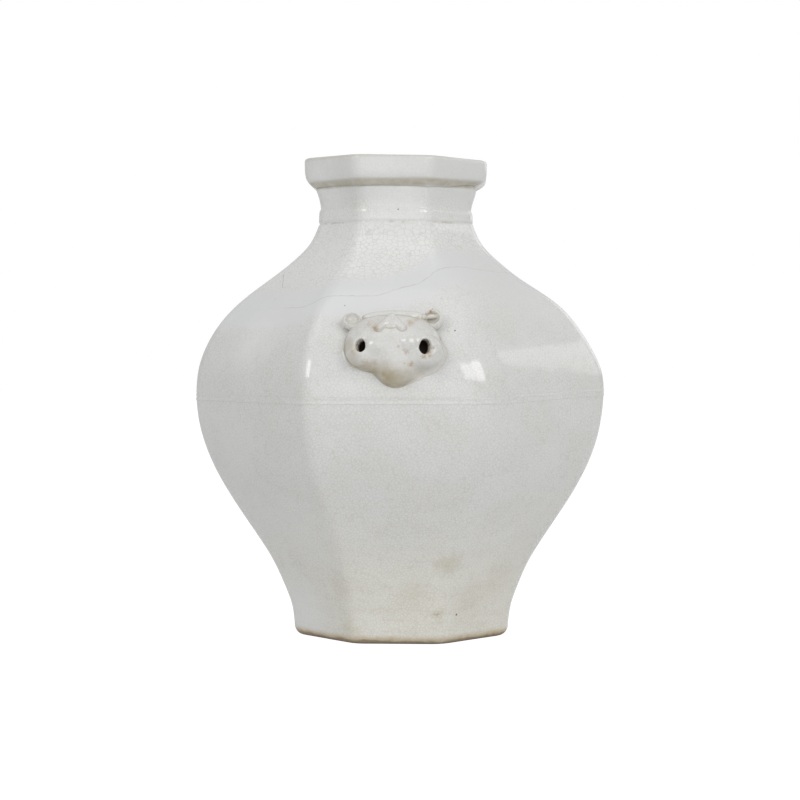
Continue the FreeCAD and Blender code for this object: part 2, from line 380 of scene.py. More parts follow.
def treeInputs(net, kinds, outName):
    interface = net.tree.interface
    for name, kind, value in kinds:
        socket = interface.new_socket(name, in_out="INPUT", socket_type="NodeSocket" + kind)
        if value is not None:
            socket.default_value = value
    interface.new_socket(outName, in_out="OUTPUT", socket_type="NodeSocketGeometry")
    entry = net.put("NodeGroupInput")
    return {socket.name: Wire(net, socket) for socket in entry.outputs if socket.name}


def moved(net, shape, **where):
    return net.node("GeometryNodeSetPosition", None, {"Geometry": shape, **where})


def noted(net, shape, name, value, kind="FLOAT"):
    return net.node("GeometryNodeStoreNamedAttribute", {"data_type": kind, "domain": "POINT"},
                    {"Geometry": shape, "Name": name, "Value": value})


def smoothed(net, shape):
    return net.node("GeometryNodeSetShadeSmooth", {"domain": "FACE"},
                    {"Geometry": shape, "Shade Smooth": True})


def finishTree(net, shape, finish, outName):
    shape = net.node("GeometryNodeRealizeInstances", None, {"Geometry": shape})
    shape = net.node("GeometryNodeSetMaterial", None, {"Geometry": shape, "Material": finish})
    net.put("NodeGroupOutput", None, {outName: shape})
    return net.tree


def millimetres(given):
    return [value * mm for value in given]


# An eight-sided shell swept round a profile

def facetedShellTree():
    net = Net(bpy.data.node_groups.new("facetedShell", "GeometryNodeTree"))
    given = treeInputs(net, [
        ("Profile", "Geometry", None), ("Closed", "Int", 1), ("Steps", "Int", sweep["steps"]),
        ("Ridge Crowding", "Float", sweep["ridgeCrowding"]), ("Lean", "Float", firing["lean"] * mm),
        ("Tilt", "Float", math.radians(firing["tiltDegrees"])), ("Uneven", "Float", firing["uneven"] * mm),
        ("Ripple", "Float", firing["ripple"] * mm), ("Bulge", "Float", firing["bulge"] * mm),
        ("Soft Ridge", "Float", firing["softRidge"] * mm), ("Climb", "Float", firing["climb"] * mm),
        ("Sharp Angle", "Float", math.radians(sweep["sharpDegrees"])), ("Finish", "Material", None)], "Shell")
    profile = given["Profile"]
    count = net.node("GeometryNodeAttributeDomainSize", {"component": "MESH"}, {"Geometry": profile},
                     "Point Count")
    columns = given["Steps"] + 1
    grid = net.node("GeometryNodeMeshGrid", None,
                    {"Vertices X": count + given["Closed"], "Vertices Y": columns}, "Mesh")
    index = net.node("GeometryNodeInputIndex")
    row = net.maths("FLOOR", (index + 0.5) / columns)
    column = index - row * columns
    at = net.maths("MODULO", row, count)

    def sample(value, kind):
        return net.node("GeometryNodeSampleIndex", {"data_type": kind, "domain": "POINT"},
                        {"Geometry": profile, "Value": value, "Index": at})

    def named(name):
        value = net.node("GeometryNodeInputNamedAttribute", {"data_type": "FLOAT"}, {"Name": name})
        return sample(value, "FLOAT")

    half, _, height = net.split(sample(net.node("GeometryNodeInputPosition"), "FLOAT_VECTOR"))
    corner = named("corner")
    inside = named("inside")
    sag = named("sag")
    turn = column / given["Steps"] * (2 * math.pi)
    angle = turn + given["Ridge Crowding"] * net.maths("SINE", turn * facets)
    outX = net.maths("COSINE", angle)
    outY = net.maths("SINE", angle)
    level = net.join(outX * half, outY * half, height)
    wide = half + wallWander(net, level, given) * net.ramp(half, 0.0, firing["stillReach"] * mm)
    # a facet is flat, a ridge is an arc between two of them
    facet = net.maths("ROUND", angle / facetTurn)
    away = net.maths("ABSOLUTE", angle - facet * facetTurn)
    ridge = net.maths("FLOOR", angle / facetTurn)
    softened = net.maths("COMPARE", ridge, firing["softRidgeIndex"], 0.5) * (1.0 - inside)
    corner = corner + softened * net.ramp(half, *millimetres(firing["softRidgeGrows"])) * given["Soft Ridge"]
    core = wide - corner
    ridgeAway = halfFacet - away
    middle = core / math.cos(halfFacet)
    flatEnd = net.maths("ARCTAN2", core * math.tan(halfFacet), wide)
    flatReach = wide / net.maths("COSINE", away)
    side = middle * net.maths("SINE", ridgeAway)
    rest = net.maths("SQRT", net.maths("MAXIMUM", corner * corner - side * side, 0.0))
    arcReach = middle * net.maths("COSINE", ridgeAway) + rest
    onFlat = away < flatEnd
    reach = arcReach + onFlat * (flatReach - arcReach)
    # the kiln leaned and tilted the neck
    leaning = net.ramp(height, firing["leanStart"] * mm, firing["leanEnd"] * mm) * given["Lean"]
    tilting = net.ramp(height, firing["tiltStart"] * mm, firing["tiltEnd"] * mm) * given["Tilt"]
    flatX = reach * outX
    # the seam climbs, and the lip hangs at its ridges but was wiped up on the right
    aside = net.maths("ABSOLUTE", height - bodyShape["bellyHeight"] * mm)
    climb = net.ramp(aside, firing["climbReach"] * mm, 0.0) \
        * net.ramp(flatX, *millimetres(firing["climbGrows"])) * given["Climb"]
    lifted = net.ramp(outX, *firing["lipLiftGrows"]) * firing["lipLift"]
    drop = sag * ((away / halfFacet) ** firing["sagPower"] - lifted) * mm
    placed = net.join(leaning + flatX * net.maths("COSINE", tilting), reach * outY,
                      height + climb - flatX * net.maths("SINE", tilting) - drop)
    shell = noted(net, moved(net, grid, Position=placed), "inside", inside)
    shell = net.node("GeometryNodeMergeByDistance", None,
                     {"Geometry": shell, "Distance": sweep["mergeDistance"] * mm})
    crease = net.node("GeometryNodeInputMeshEdgeAngle", None, None, "Unsigned Angle")
    shell = net.node("GeometryNodeSetShadeSmooth", {"domain": "EDGE"}, {
        "Geometry": smoothed(net, shell), "Selection": crease > given["Sharp Angle"], "Shade Smooth": False})
    return finishTree(net, shell, given["Finish"], "Shell")


def settled(name, mesh, tree, values):
    # what a geometry tree makes of a mesh, as a plain mesh of its own, faces outwards
    rough = bpy.data.objects.new(name + "Rough", mesh)
    bpy.context.scene.collection.objects.link(rough)
    modifier = rough.modifiers.new("shape", "NODES")
    modifier.node_group = tree
    for item in tree.interface.items_tree:
        if item.item_type == "SOCKET" and item.in_out == "INPUT" and item.name in values:
            modifier[item.identifier] = values[item.name]
    depsgraph = bpy.context.evaluated_depsgraph_get()
    made = bpy.data.meshes.new_from_object(rough.evaluated_get(depsgraph), preserve_all_data_layers=True,
                                           depsgraph=depsgraph)
    bpy.data.objects.remove(rough)
    made.name = name
    corners = np.zeros(len(made.vertices) * 3)
    made.vertices.foreach_get("co", corners)
    corners = corners.reshape(-1, 3)
    made.calc_loop_triangles()
    faces = np.zeros(len(made.loop_triangles) * 3, dtype=np.int32)
    made.loop_triangles.foreach_get("vertices", faces)
    first, second, third = (corners[faces[side::3]] for side in range(3))
    if np.einsum("ij,ij->i", first, np.cross(second, third)).sum() < 0:
        made.flip_normals()
    piece = bpy.data.objects.new(name, made)
    bpy.context.scene.collection.objects.link(piece)
    return piece


shellTree = facetedShellTree()


def shellPiece(name, profile, finish, slotName, *nodes, closed=True):
    mesh = bpy.data.meshes.new(name + "Profile")
    mesh.from_pydata([(point[0] * mm, 0.0, point[1] * mm) for point in profile], [], [])
    for attribute, column, scale in (("corner", 2, mm), ("inside", 3, 1.0), ("sag", 4, 1.0)):
        layer = mesh.attributes.new(attribute, "FLOAT", "POINT")
        layer.data.foreach_set("value", [point[column] * scale for point in profile])
    piece = settled(name, mesh, shellTree, {"Closed": 1 if closed else 0, "Finish": finish})
    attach(piece, "root")
    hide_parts(*nodes)
    return piece


# Glaze and bare clay. A range is the two values that a change runs between, and where it has four,
# its strength at each of them too.

glaze = {
    "white": (0.748, 0.750, 0.740),
    "greyPatchesAndShade": (0.715, 0.718, 0.704),      # thinner, greyer patches, and the colour of the painted shade patches
    "bright": (0.815, 0.818, 0.808),     # painted light: colour lighter than the white, for the upper body and the lighter spots
    "cool": (0.740, 0.752, 0.750),       # the thick band along the lap of the two dips
    "lapLine": (0.500, 0.500, 0.475),
    "creamAndPaintedLight": (0.828, 0.812, 0.730),      # toasted glaze low on the body, also lighter than the white as painted light
    "toast": (0.500, 0.450, 0.310),
    "pooledAndShade": (0.425, 0.380, 0.275),     # olive glaze in the hollows, and painted shade under the lip
    "washedAndShaded": (0.370, 0.310, 0.175),     # and on the masks, partly painted shade
    "greyCrackle": (0.350, 0.345, 0.320),
    "ochreCrackle": (0.450, 0.400, 0.290),
    "mark": (0.270, 0.255, 0.230),
    "ochre": (0.400, 0.235, 0.085),
    "speck": (0.120, 0.040, 0.020),
    "clay": (0.610, 0.520, 0.370),
    "brown": (0.300, 0.215, 0.130),
    # near black: burnt clay at the foot's bottom edge, and painted shadow in the masks' hollows and on the
    # wall behind their eyes
    "burntAndShadow": (0.045, 0.030, 0.020),
    # painted shade deep inside the neck
    "inside": (0.600, 0.590, 0.540),
    "insideShadeDepths": (336.0, 300.0),
    "insideShadeShare": 0.8,
    "ior": 1.55,
    "roughness": 0.10,
    "roughnessWander": 0.04,
    "roughnessLeast": 0.05,
    "patchSize": 34.0,                   # widths of its unevenness
    "smallSize": 7.0,
    "fineSize": 1.5,
    "streakSize": 30.0,
    "streakSquash": (1.0, 1.0, 5.0),
    "thinPatches": (0.35, 0.68),
    "paintedLightRise": (210.0, 265.0),
    "paintedLightFall": (318.0, 292.0),
    "bandLow": (-18.0, -8.0),            # from the lap line
    "bandHigh": (18.0, 7.0),
    "bandWander": 14.0,
    "bandShare": 0.85,
    "leftNear": (0.44, 0.34),            # the left side, in turns from the back: the front is at 0.5
    "leftFar": (0.05, 0.14),
    "creamFall": (120.0, 22.0),
    "creamWander": 50.0,
    "creamShare": 0.72,
    "creamLessLeft": 0.45,
    "toastFall": (70.0, 15.0),
    "toastStreaks": (0.4, 0.7),
    "toastShare": 0.11,
    "patchBump": 0.25,                   # heights of the unevenness
    "smallBump": 0.045,
    "fineBump": 0.012,
    "clayBump": 0.12,
    "crackBump": 0.015,
    "lapBump": 0.02,
}

crackle = {
    "coarseCell": 3.7,
    "coarseLine": 0.42,
    "coarseDepth": 0.34,
    "coarseFrom": (-1.0, 3.0),           # wide cells from the lap line up to the neck
    "coarseTo": (300.0, 288.0),
    "fineCell": 2.2,
    "fineLine": 0.40,
    "fineDepth": 0.25,
    "fineShift": 40.0,                   # so that the two webs have no lines in common
    "strayed": (6.0, 2.6),               # size and reach of the lines' wandering
    "neckFade": (300.0, 322.0, 1.0, 0.4),
    "lessInBand": 0.9,
    "tone": (0.3, 0.7, 0.6, 1.1),
    "tonePatches": 0.6,
    "onMask": 0.6,
    "ochre": (0.5, 0.85),                # where ochre took the place of grey in the lines
    "ochreSmall": 0.3,
    "ochreLessLeft": 0.8,
    "roughness": 0.05,
}

lap = {
    # height of the lap line of the two dips, by the angle round from the front, in degrees
    "heights": [(-180, 250), (-140, 243), (-95, 236), (-66, 232), (-48.4, 232.6), (-32.4, 233.6),
                (-27, 238), (-22, 241), (-9.2, 241), (-1.4, 245), (7.9, 249.3), (12.9, 253.6), (20.7, 260),
                (31.8, 261.8), (45.7, 260.2), (66.2, 258), (95, 254), (130, 259), (160, 256), (180, 250)],
    "low": 220.0,
    "high": 270.0,
    "wander": 2.0,
    "width": 0.5,
    "fade": (0.375, 0.405, 0.12, 1.0),
    "tone": (0.3, 0.6, 0.25, 0.6),
}

# stains in the glaze, and spots of painted light and painted shade, by colour: place, reach, strength
stains = {
    "toast": [
        ((34.8, -93.2, 56.8), 15.0, 0.42), ((51.4, -66.0, 30.0), 22.0, 0.22),
        ((70.0, -50.0, 46.0), 26.0, 0.22), ((28.5, -78.6, 20.8), 7.0, 0.42),
        ((-34.7, -76.0, 10.0), 13.0, 0.35), ((10.0, -83.8, 36.8), 17.0, 0.18),
        ((96.0, -30.0, 62.0), 56.0, 0.14), ((40.0, 74.0, 30.0), 26.0, 0.3),
        ((-66.0, 52.0, 34.0), 22.0, 0.3), ((-12.0, 96.0, 60.0), 14.0, 0.3),
    ],
    # painted light: lighter spots at the foot and up the left side and the neck
    "bright": [((-72.0, -44.0, 16.0), 44.0, 0.9), ((-92.0, -84.0, 205.0), 36.0, 0.8),
               ((-54.0, -34.0, 318.0), 30.0, 1.0), ((0.0, -56.0, 308.0), 30.0, 0.7)],
    # painted shade: darker patches on the right shoulder and neck, the left belly, and low on both sides
    "greyPatchesAndShade": [
        ((80.0, -62.0, 262.0), 66.0, 0.8), ((62.0, -20.0, 312.0), 46.0, 1.0),
        ((-122.0, -50.0, 150.0), 74.0, 0.6), ((-95.0, -60.0, 100.0), 60.0, 0.3),
        ((110.0, -30.0, 70.0), 60.0, 0.5),
    ],
    "pooledAndShade": [((-40.0, -81.0, 42.0), 18.0, 0.2), ((76.0, 40.0, 60.0), 24.0, 0.16)],
    "ochre": [((27.4, -79.0, 21.5), 2.6, 0.5), ((35.5, -126.8, 219.3), 2.4, 0.35),
              ((32.2, -134.0, 212.0), 2.0, 0.25)],
}
stainLook = {
    "strayed": (5.0, 14.0),
    "blur": 0.1,
    "grain": (0.25, 0.7, 0.6, 1.1),
}

# olive glaze under the lip, over its edge and in the groove under the neck; the band under the lip is partly
# painted shade
pools = {
    "lipTop": (325.2, 322.4),
    "lipLow": (317.6, 319.8),
    "lipWander": 1.6,
    "lipTone": (0.25, 0.7, 0.52, 0.8),
    "rimRise": (337.6, 339.4),
    "rimOut": (62.0, 63.5),
    "rimWander": 2.0,
    "rimShare": 0.32,
    "grooveHeight": 294.0,
    "grooveReach": (1.3, 0.2),
    "groovePatches": (0.45, 0.65),
    "grooveShare": 0.45,
}

# bare clay at the worn foot and under it; its darkest bottom edge is burnt clay and painted contact shadow
bareClay = {
    "wander": 4.0,
    "edge": (7.4, 3.4),
    "underOut": (73.0, 71.0),
    "underUp": (12.0, 10.0),
    "brown": (3.9, 1.8),
    "burntAndShadow": (1.3, 0.6),
    "share": 0.9,
    "roughness": 0.75,
}

# painted shadow, darker and rougher, on the wall behind the pierced eyes: place, reach, strength
eyeHoleShadow = [((-18.5, -135.0, 205.0), 12.0, 1.0), ((16.5, -135.0, 205.0), 12.0, 1.0),
        ((15.5, 135.0, 205.0), 12.0, 1.0), ((-19.5, 135.0, 205.0), 12.0, 1.0)]
eyeHoleShadowBlur = 0.9
eyeHoleShadowRoughness = 0.6

# short dark cracks in the thick glaze: both ends
marks = [
    ((-82.6, -42.0, 257.3), (-81.5, -60.7, 247.6)), ((-85.5, -70.5, 239.7), (-86.8, -77.8, 233.3)),
    ((-63.4, -107.4, 228.8), (-62.2, -121.8, 216.5)), ((-103.5, -72.5, 225.0), (-104.0, -79.8, 216.7)),
    ((88.0, 70.0, 240.0), (92.0, 74.0, 231.0)), ((-30.0, 112.0, 236.0), (-31.0, 120.0, 226.0)),
]
markWidth = 0.42
markShare = 0.6

# iron specks: place, radius, strength
specks = [
    ((-0.9, -55.2, 302.6), 0.9, 0.8),
    ((-34.5, -113.6, 234.1), 0.75, 1.0),
    ((24.2, -116.1, 231.6), 0.85, 1.0),
    ((39.4, -128.0, 217.6), 0.8, 1.0),
    ((-4.2, -96.5, 62.5), 0.45, 1.0),
    ((13.5, -140.0, 150.5), 0.4, 1.0),
    ((40.2, -71.0, 20.5), 1.0, 1.0),
    ((62.0, 96.0, 216.0), 0.7, 1.0),
    ((-22.0, 104.0, 78.0), 0.6, 1.0),
    ((108.0, 8.0, 232.0), 0.6, 1.0),
]
speckBlur = 0.45

# where more of the olive glaze gathered on the masks, partly painted shade on the left side and low down,
# as seen from the front: across and up from the middle, reach, strength
maskTones = [
    ((-28.5, -1.0, 0.0), 8.0, 0.4), ((-25.0, -9.0, 0.0), 9.0, 0.35), ((-18.5, -16.5, 0.0), 9.0, 0.14),
    ((-7.0, -24.5, 0.0), 9.0, 0.6), ((4.0, -26.5, 0.0), 7.0, 0.4), ((19.0, -17.0, 0.0), 7.0, 0.2),
    ((10.0, -14.0, 0.0), 4.5, 0.2), ((-9.0, 12.0, 0.0), 8.0, 0.26), ((12.0, 13.0, 0.0), 8.0, 0.16),
]

# brown stains on the masks, in the same way
maskStains = [
    ((-20.6, 18.0, 0.0), 2.6, 0.9), ((-11.2, 10.0, 0.0), 4.2, 0.6), ((-15.0, 13.2, 0.0), 3.6, 0.3),
    ((11.6, 13.3, 0.0), 3.6, 0.5), ((15.8, 16.6, 0.0), 3.0, 0.35), ((22.3, 19.0, 0.0), 2.6, 0.7),
    ((25.0, 21.3, 0.0), 2.0, 0.9), ((27.5, 19.1, 0.0), 2.2, 0.4), ((32.2, 3.4, 0.0), 2.8, 0.35),
    ((4.5, -1.7, 0.0), 1.8, 0.6), ((7.3, -4.1, 0.0), 1.3, 0.5), ((8.4, -12.7, 0.0), 1.6, 0.5),
    ((12.1, -13.3, 0.0), 3.0, 0.65), ((-24.7, -4.7, 0.0), 2.8, 0.5), ((-17.9, -12.8, 0.0), 4.0, 0.35),
    ((-11.2, -12.2, 0.0), 3.0, 0.3), ((-3.0, -24.1, 0.0), 5.0, 0.25), ((9.0, -5.2, 0.0), 3.0, 0.4),
    ((24.8, -6.4, 0.0), 3.0, 0.75), ((20.6, -8.6, 0.0), 2.4, 0.6), ((27.0, -2.6, 0.0), 2.2, 0.5),
    ((-14.6, -14.4, 0.0), 3.4, 0.35), ((-5.2, -19.6, 0.0), 3.0, 0.3),
]
# olive glaze that ran over the masks, partly painted shade, and their dry, freckled eye holes, painted dark
# as shadow deep inside
maskGlazeLook = {
    "level": 209.0,                      # the height of a mask's middle
    "underside": (-0.1, 0.8),            # how far the glaze's surface faces down
    "undersideFall": (-6.0, -20.0),
    "undersideAcross": (26.0, -8.0, 0.3, 0.8),
    "edgeOut": (2.6, 0.9),               # from the jar's wall
    "edgeIn": (0.1, 0.7),
    "edgeAcross": (34.0, -20.0, 0.3, 0.75),
    "creaseShare": 0.8,
    "toneBlur": 0.2,
    "thinWash": (0.3, 0.7, 0.04, 0.14),
    "patches": (0.2, 0.7, 0.65, 1.1),
    "stainStrayed": (3.0, (4.0, 4.0, 0.0)),
    "stainGrain": (0.3, 0.65, 0.35, 1.1),
    "freckled": (0.4, 2.2),              # depths in an eye hole
    "freckleGrain": (0.42, 0.6),
    "freckleSmall": 0.6,
    "freckleShare": 0.8,
    # depths painted near black as shadow
    "burntAndShadow": (2.6, 5.0),
    "dry": (1.5, 3.5),
    "dryRoughness": 0.6,
}


def newMaterial(name):
    material = bpy.data.materials.new(name)
    material.use_nodes = True
    tree = material.node_tree
    shader = next(node for node in tree.nodes if node.type == "BSDF_PRINCIPLED")
    return material, Net(tree), shader


def spots(net, place, listed, blur):
    # full strength near the middle of each listed place, fading to 0 at its reach
    total = None
    for center, reach, strength in listed:
        distance = net.maths("LENGTH", place - center)
        one = net.ramp(distance, reach, reach * blur, 0.0, strength)
        total = one if total is None else total.largest(one)
    return total


def strokes(net, place, listed, width):
    # thin lines between listed places
    total = None
    for start, end in listed:
        along = [b - a for a, b in zip(start, end)]
        square = sum(value * value for value in along)
        share = net.clamp(net.maths("DOT_PRODUCT", place - start, tuple(along)) / square)
        away = net.maths("LENGTH", place - start - net.join(share, share, share) * tuple(along))
        one = net.ramp(away, width, 0.0)
        total = one if total is None else total.largest(one)
    return total


def cracks(net, place, cell, width):
    distance = net.node("ShaderNodeTexVoronoi", {"feature": "DISTANCE_TO_EDGE", "voronoi_dimensions": "3D"},
                        {"Vector": place, "Scale": 1.0 / cell})
    return net.ramp(distance, width / cell, 0.0)


def strayed(net, place, size, reach):
    # an offset that wanders from place to place
    return (net.noise(place, size, 2.0, 0.5, "Color") - 0.5) * reach


class GlazePoint:
    # where a point of the glaze lies, and the noises that its coats share
    def __init__(self, net):
        self.place = net.node("ShaderNodeTexCoord", None, None, "Object") * toMm
        x, y, self.z = net.split(self.place)
        self.azimuth = net.maths("ARCTAN2", x, -y) / (2 * math.pi) + 0.5
        self.reach = net.maths("SQRT", x * x + y * y)
        self.patches = net.noise(self.place, glaze["patchSize"], 3.0)
        self.small = net.noise(self.place, glaze["smallSize"], 3.0, 0.6)
        self.fine = net.noise(self.place, glaze["fineSize"], 2.0)
        self.streaks = net.noise(self.place * glaze["streakSquash"], glaze["streakSize"], 3.0)
        self.inside = net.attribute("inside")
        rise = lap["high"] - lap["low"]
        curve = [(angle / 360 + 0.5, (height - lap["low"]) / rise) for angle, height in lap["heights"]]
        line = net.node("ShaderNodeFloatCurve", {"curve": curve}, {"Value": self.azimuth}) * rise + lap["low"]
        self.above = self.z - (line + (self.small - 0.5) * lap["wander"])
        bandLow = net.ramp(self.above + (self.patches - 0.5) * glaze["bandWander"], *glaze["bandLow"])
        self.band = bandLow * net.ramp(self.above, *glaze["bandHigh"])
        self.onLeft = net.ramp(self.azimuth, *glaze["leftNear"]) * net.ramp(self.azimuth, *glaze["leftFar"])


def whiteCoat(net, at):
    # white glaze, thinner in patches, painted lighter on the upper body, thick and bluish along the lap,
    # creamy and painted lighter low down
    color = net.mix(net.ramp(at.patches, *glaze["thinPatches"]), glaze["white"], glaze["greyPatchesAndShade"])
    # painted light on the upper body, between these heights
    bright = net.ramp(at.z, *glaze["paintedLightRise"]) * net.ramp(at.z, *glaze["paintedLightFall"])
    color = net.mix(bright, color, glaze["bright"])
    color = net.mix(at.band * glaze["bandShare"], color, glaze["cool"])
    # creamy glaze low down, partly painted light, less of it on the left
    low = net.ramp(at.z + (at.streaks - 0.5) * glaze["creamWander"], *glaze["creamFall"]) \
        * (1.0 - at.onLeft * glaze["creamLessLeft"])
    color = net.mix(low * glaze["creamShare"], color, glaze["creamAndPaintedLight"])
    toasted = net.ramp(at.z, *glaze["toastFall"]) * net.ramp(at.streaks, *glaze["toastStreaks"])
    return net.mix(toasted * glaze["toastShare"], color, glaze["toast"])


def crackleWeb(net, at):
    # wide above the lap and round from the front, close below it, none where the glaze is thick
    bent = at.place + strayed(net, at.place, *crackle["strayed"])
    coarse = cracks(net, bent, crackle["coarseCell"], crackle["coarseLine"]) * crackle["coarseDepth"]
    close = cracks(net, bent + crackle["fineShift"], crackle["fineCell"], crackle["fineLine"]) \
        * crackle["fineDepth"]
    upper = net.ramp(at.above, *crackle["coarseFrom"]) * (1.0 - at.onLeft) \
        * net.ramp(at.z, *crackle["coarseTo"])
    web = (close + upper * (coarse - close)) * net.ramp(at.z, *crackle["neckFade"])
    return web * (1.0 - at.band * crackle["lessInBand"]) \
        * net.ramp(at.small + (at.patches - 0.5) * crackle["tonePatches"], *crackle["tone"])


def crackleInk(net, at):
    ochre = net.ramp(at.patches + at.small * crackle["ochreSmall"], *crackle["ochre"])
    return net.mix(ochre * (1.0 - at.onLeft * crackle["ochreLessLeft"]), glaze["greyCrackle"],
                   glaze["ochreCrackle"])


def pooledAndShadeShare(net, at):
    lipTone = net.ramp(at.small, *pools["lipTone"])
    # the band under the lip: olive glaze and painted shade
    underLipOliveAndShade = net.ramp(at.z + (at.small - 0.5) * pools["lipWander"], *pools["lipTop"]) \
        * net.ramp(at.z, *pools["lipLow"]) * (1.0 - at.inside)
    rimEdge = net.ramp(at.z + (at.small - 0.5) * pools["rimWander"], *pools["rimRise"]) \
        * net.ramp(at.reach, *pools["rimOut"])
    groove = net.ramp(net.maths("ABSOLUTE", at.z - pools["grooveHeight"]), *pools["grooveReach"]) \
        * net.ramp(at.small, *pools["groovePatches"]) * pools["grooveShare"]
    return (underLipOliveAndShade * lipTone).largest(rimEdge * pools["rimShare"], groove)


def maskCoat(net, at, color, rough):
    # olive glaze ran to the underside, into the creases and round the edge; darkening these, the surfaces
    # facing down and the left side is also painted shade
    look = maskGlazeLook
    crease, inset, under, contact = [net.attribute(name) for name in ("crease", "inset", "under", "contact")]
    across, _, _ = net.split(net.attribute("modelled", "Vector"))
    level = at.z - look["level"]
    seen = net.join(across, level, 0.0)
    washAndShade = net.ramp(under, *look["underside"]) * net.ramp(level, *look["undersideFall"]) \
        * net.ramp(across, *look["undersideAcross"])
    edge = net.ramp(contact, *look["edgeOut"]) * net.ramp(contact, *look["edgeIn"]) \
        * net.ramp(across, *look["edgeAcross"])
    tone = spots(net, seen, maskTones, look["toneBlur"])
    washAndShade = washAndShade.largest(crease * look["creaseShare"], edge, tone, net.ramp(at.fine, *look["thinWash"]))
    color = net.mix(washAndShade * net.ramp(at.small, *look["patches"]), color, glaze["washedAndShaded"])
    strewn = seen + strayed(net, at.place, *look["stainStrayed"])
    stained = spots(net, strewn, maskStains, stainLook["blur"]) * net.ramp(at.fine, *look["stainGrain"])
    color = net.mix(stained, color, glaze["ochre"])
    grain = net.ramp(at.fine + (at.small - 0.5) * look["freckleSmall"], *look["freckleGrain"])
    freckled = net.ramp(inset, *look["freckled"]) * grain
    color = net.mix(freckled * look["freckleShare"], color, glaze["brown"])
    # painted shadow: deep in the hollow and the eye holes near black
    color = net.mix(net.ramp(inset, *look["burntAndShadow"]), color, glaze["burntAndShadow"])
    return color, rough + net.ramp(inset, *look["dry"]) * look["dryRoughness"]


def wallCoat(net, at, color, rough):
    # painted shade, greyer deep inside; painted shadow behind the eyes; at the worn foot the glaze thins to
    # bare clay, browner and then burnt, with painted contact shadow at the bottom edge
    deepShade = at.inside * net.ramp(at.z, *glaze["insideShadeDepths"])
    color = net.mix(deepShade * glaze["insideShadeShare"], color, glaze["inside"])
    ragged = at.z + (at.small - 0.5) * bareClay["wander"] + (at.streaks - 0.5) * bareClay["wander"]
    under = net.ramp(at.reach, *bareClay["underOut"]) * net.ramp(at.z, *bareClay["underUp"])
    clay = net.clamp(net.ramp(ragged, *bareClay["edge"]) + under)
    # painted shadow on the wall behind the eye holes
    eyeShadowed = spots(net, at.place, eyeHoleShadow, eyeHoleShadowBlur)
    color = net.mix(eyeShadowed, color, glaze["burntAndShadow"])
    rough = rough + eyeShadowed * eyeHoleShadowRoughness
    tone = net.mix(net.ramp(ragged, *bareClay["brown"]), glaze["clay"], glaze["brown"])
    tone = net.mix(net.ramp(at.z + (at.fine - 0.5), *bareClay["burntAndShadow"]), tone, glaze["burntAndShadow"])
    color = net.mix(clay * bareClay["share"], color, tone)
    return color, net.mix(clay, rough, bareClay["roughness"]), clay


def glazeMaterial(name, onMask):
    material, net, shader = newMaterial(name)
    at = GlazePoint(net)
    web = crackleWeb(net, at)
    if onMask:
        web = web * crackle["onMask"]
    color = net.mix(web, whiteCoat(net, at), crackleInk(net, at))
    lapEdge = net.ramp(net.maths("ABSOLUTE", at.above), lap["width"], 0.0) \
        * net.ramp(at.azimuth, *lap["fade"])
    color = net.mix(lapEdge * net.ramp(at.small, *lap["tone"]), color, glaze["lapLine"])
    color = net.mix(strokes(net, at.place, marks, markWidth) * markShare, color, glaze["mark"])
    wandering = at.place + strayed(net, at.place, *stainLook["strayed"])
    for key, listed in stains.items():
        share = spots(net, wandering, listed, stainLook["blur"]) * net.ramp(at.fine, *stainLook["grain"])
        color = net.mix(share, color, glaze[key])
    color = net.mix(pooledAndShadeShare(net, at), color, glaze["pooledAndShade"])
    rough = glaze["roughness"] + (at.small - 0.5) * glaze["roughnessWander"] + web * crackle["roughness"]
    height = (at.small - 0.5) * glaze["smallBump"] + (at.fine - 0.5) * glaze["fineBump"] \
        + (at.patches - 0.5) * glaze["patchBump"] - web * glaze["crackBump"] - lapEdge * glaze["lapBump"]
    if onMask:
        color, rough = maskCoat(net, at, color, rough)
    else:
        color, rough, clay = wallCoat(net, at, color, rough)
        height = height + clay * (at.fine - 0.5) * glaze["clayBump"]
    color = net.mix(spots(net, at.place, specks, speckBlur), color, glaze["speck"])
    shader.inputs["IOR"].default_value = glaze["ior"]
    net.feed(shader.inputs["Base Color"], color)
    net.feed(shader.inputs["Roughness"], net.clamp(rough, glaze["roughnessLeast"], 1.0))
    bump = net.node("ShaderNodeBump", None, {"Strength": 1.0, "Distance": mm, "Height": height})
    net.feed(shader.inputs["Normal"], bump)
    return material


bodyGlaze = glazeMaterial("bodyGlaze", onMask=False)
maskGlaze = glazeMaterial("maskGlaze", onMask=True)
stage("glazes")


# Foot ring

footRing = {
    "half": 77.0,
    "width": 13.0,
    "top": 9.0,
    "wornWidth": 5.4,                    # the outer edge is worn round, higher than it is wide
    "wornHeight": 8.2,
    "wornSteps": 12,
    "innerRound": 1.5,
    "innerSteps": 4,
    "restRows": (67.5, 70.0),            # across the flat that it stands on
    "sideRows": (8.4, 8.6),              # up its outside
    "topRows": (76.2, 74.0),             # in across its top
    "topInnerRow": 66.0,
    "recessRows": (8.5, 6.5, 4.0, 2.2),  # and down inside it
}


